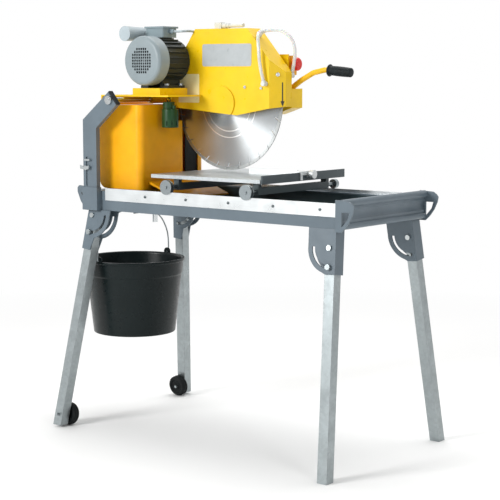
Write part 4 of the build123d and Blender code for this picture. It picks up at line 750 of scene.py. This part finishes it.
class SAW_OT_stage(bpy.types.Operator):
    """Lays the floor and sets the lights and the camera"""

    bl_idname = "saw.stage"
    bl_label = "Studio"

    def execute(self, context):
        scene = context.scene
        reach = 30.0
        mesh = bpy.data.meshes.new("studio_floor")
        corners = [(-reach, -reach, 0.0), (reach, -reach, 0.0), (reach, reach, 0.0), (-reach, reach, 0.0)]
        mesh.from_pydata(corners, [], [(0, 1, 2, 3)])
        mesh.materials.append(studio_floor("studio_floor", "#F4F4F3"))
        floor = bpy.data.objects.new("studio_floor", mesh)
        scene.collection.objects.link(floor)
        world = bpy.data.worlds.new("studio_world")
        world.use_nodes = True
        tree = world.node_tree
        tree.nodes.clear()
        where = add_node(tree, "ShaderNodeTexCoord").outputs["Generated"]
        toward = add_node(tree, "ShaderNodeVectorMath", {0: where, 1: (-0.55, 0.60, 0.25)},
                          operation="DOT_PRODUCT")
        strength = spread(tree, toward.outputs["Value"], 0.26, 1.0, -0.45, 0.55)
        paper = add_node(tree, "ShaderNodeBackground", {"Color": (1.0, 1.0, 1.0, 1.0), "Strength": strength})
        add_node(tree, "ShaderNodeOutputWorld", {"Surface": paper.outputs[0]})
        scene.world = world
        for name, place, size, power in LIGHTS:
            lamp = bpy.data.lights.new(name, "AREA")
            lamp.energy = power
            lamp.size = size
            lamp.shape = "DISK"
            holder = bpy.data.objects.new(name, lamp)
            holder.location = place
            aim = np.array(LIGHT_TARGET) - np.array(place)
            flat = math.hypot(aim[0], aim[1])
            holder.rotation_euler = (math.atan2(flat, -aim[2]), 0.0, math.atan2(-aim[0], aim[1]))
            scene.collection.objects.link(holder)
        lens = bpy.data.cameras.new("camera")
        lens.lens = CAMERA_LENS
        lens.sensor_width = CAMERA_SENSOR
        lens.clip_end = 200.0
        camera = bpy.data.objects.new("camera", lens)
        camera.location = CAMERA_PLACE
        camera.rotation_euler = (math.radians(90 - CAMERA_DROP), 0.0, math.radians(CAMERA_TURN))
        scene.collection.objects.link(camera)
        scene.camera = camera
        scene.view_settings.view_transform = "Standard"
        return {"FINISHED"}


STEPS = (SAW_OT_frame_finish, SAW_OT_hood_finish, SAW_OT_head_finish, SAW_OT_blade_finish,
         SAW_OT_table_finish, SAW_OT_legs_finish, SAW_OT_bucket, SAW_OT_hoses, SAW_OT_grip, SAW_OT_plates,
         SAW_OT_stage)


class SAW_PT_panel(bpy.types.Panel):
    """Lists the steps and settings of the saw"""

    bl_idname = "SAW_PT_panel"
    bl_label = "Wet table saw"
    bl_space_type = "VIEW_3D"
    bl_region_type = "UI"
    bl_category = "Saw"

    def draw(self, context):
        column = self.layout.column()
        for group in (context.scene.saw_finishes, context.scene.saw_sizes):
            for key in group.__annotations__:
                column.prop(group, key)
        for step in STEPS:
            column.operator(step.bl_idname)


CLASSES = (SawFinishes, SawSizes) + STEPS + (SAW_PT_panel,)


def register():
    """Registers the classes and hangs the settings on the scene."""
    for cls in CLASSES:
        bpy.utils.register_class(cls)
    bpy.types.Scene.saw_finishes = bpy.props.PointerProperty(type=SawFinishes)
    bpy.types.Scene.saw_sizes = bpy.props.PointerProperty(type=SawSizes)


def unregister():
    """Takes the settings and classes away again."""
    del bpy.types.Scene.saw_sizes
    del bpy.types.Scene.saw_finishes
    for cls in reversed(CLASSES):
        bpy.utils.unregister_class(cls)


def main():
    """Runs every step in order."""
    register()
    for step in STEPS:
        group, name = step.bl_idname.split(".")
        getattr(getattr(bpy.ops, group), name)()


if __name__ == "__main__":
    main()
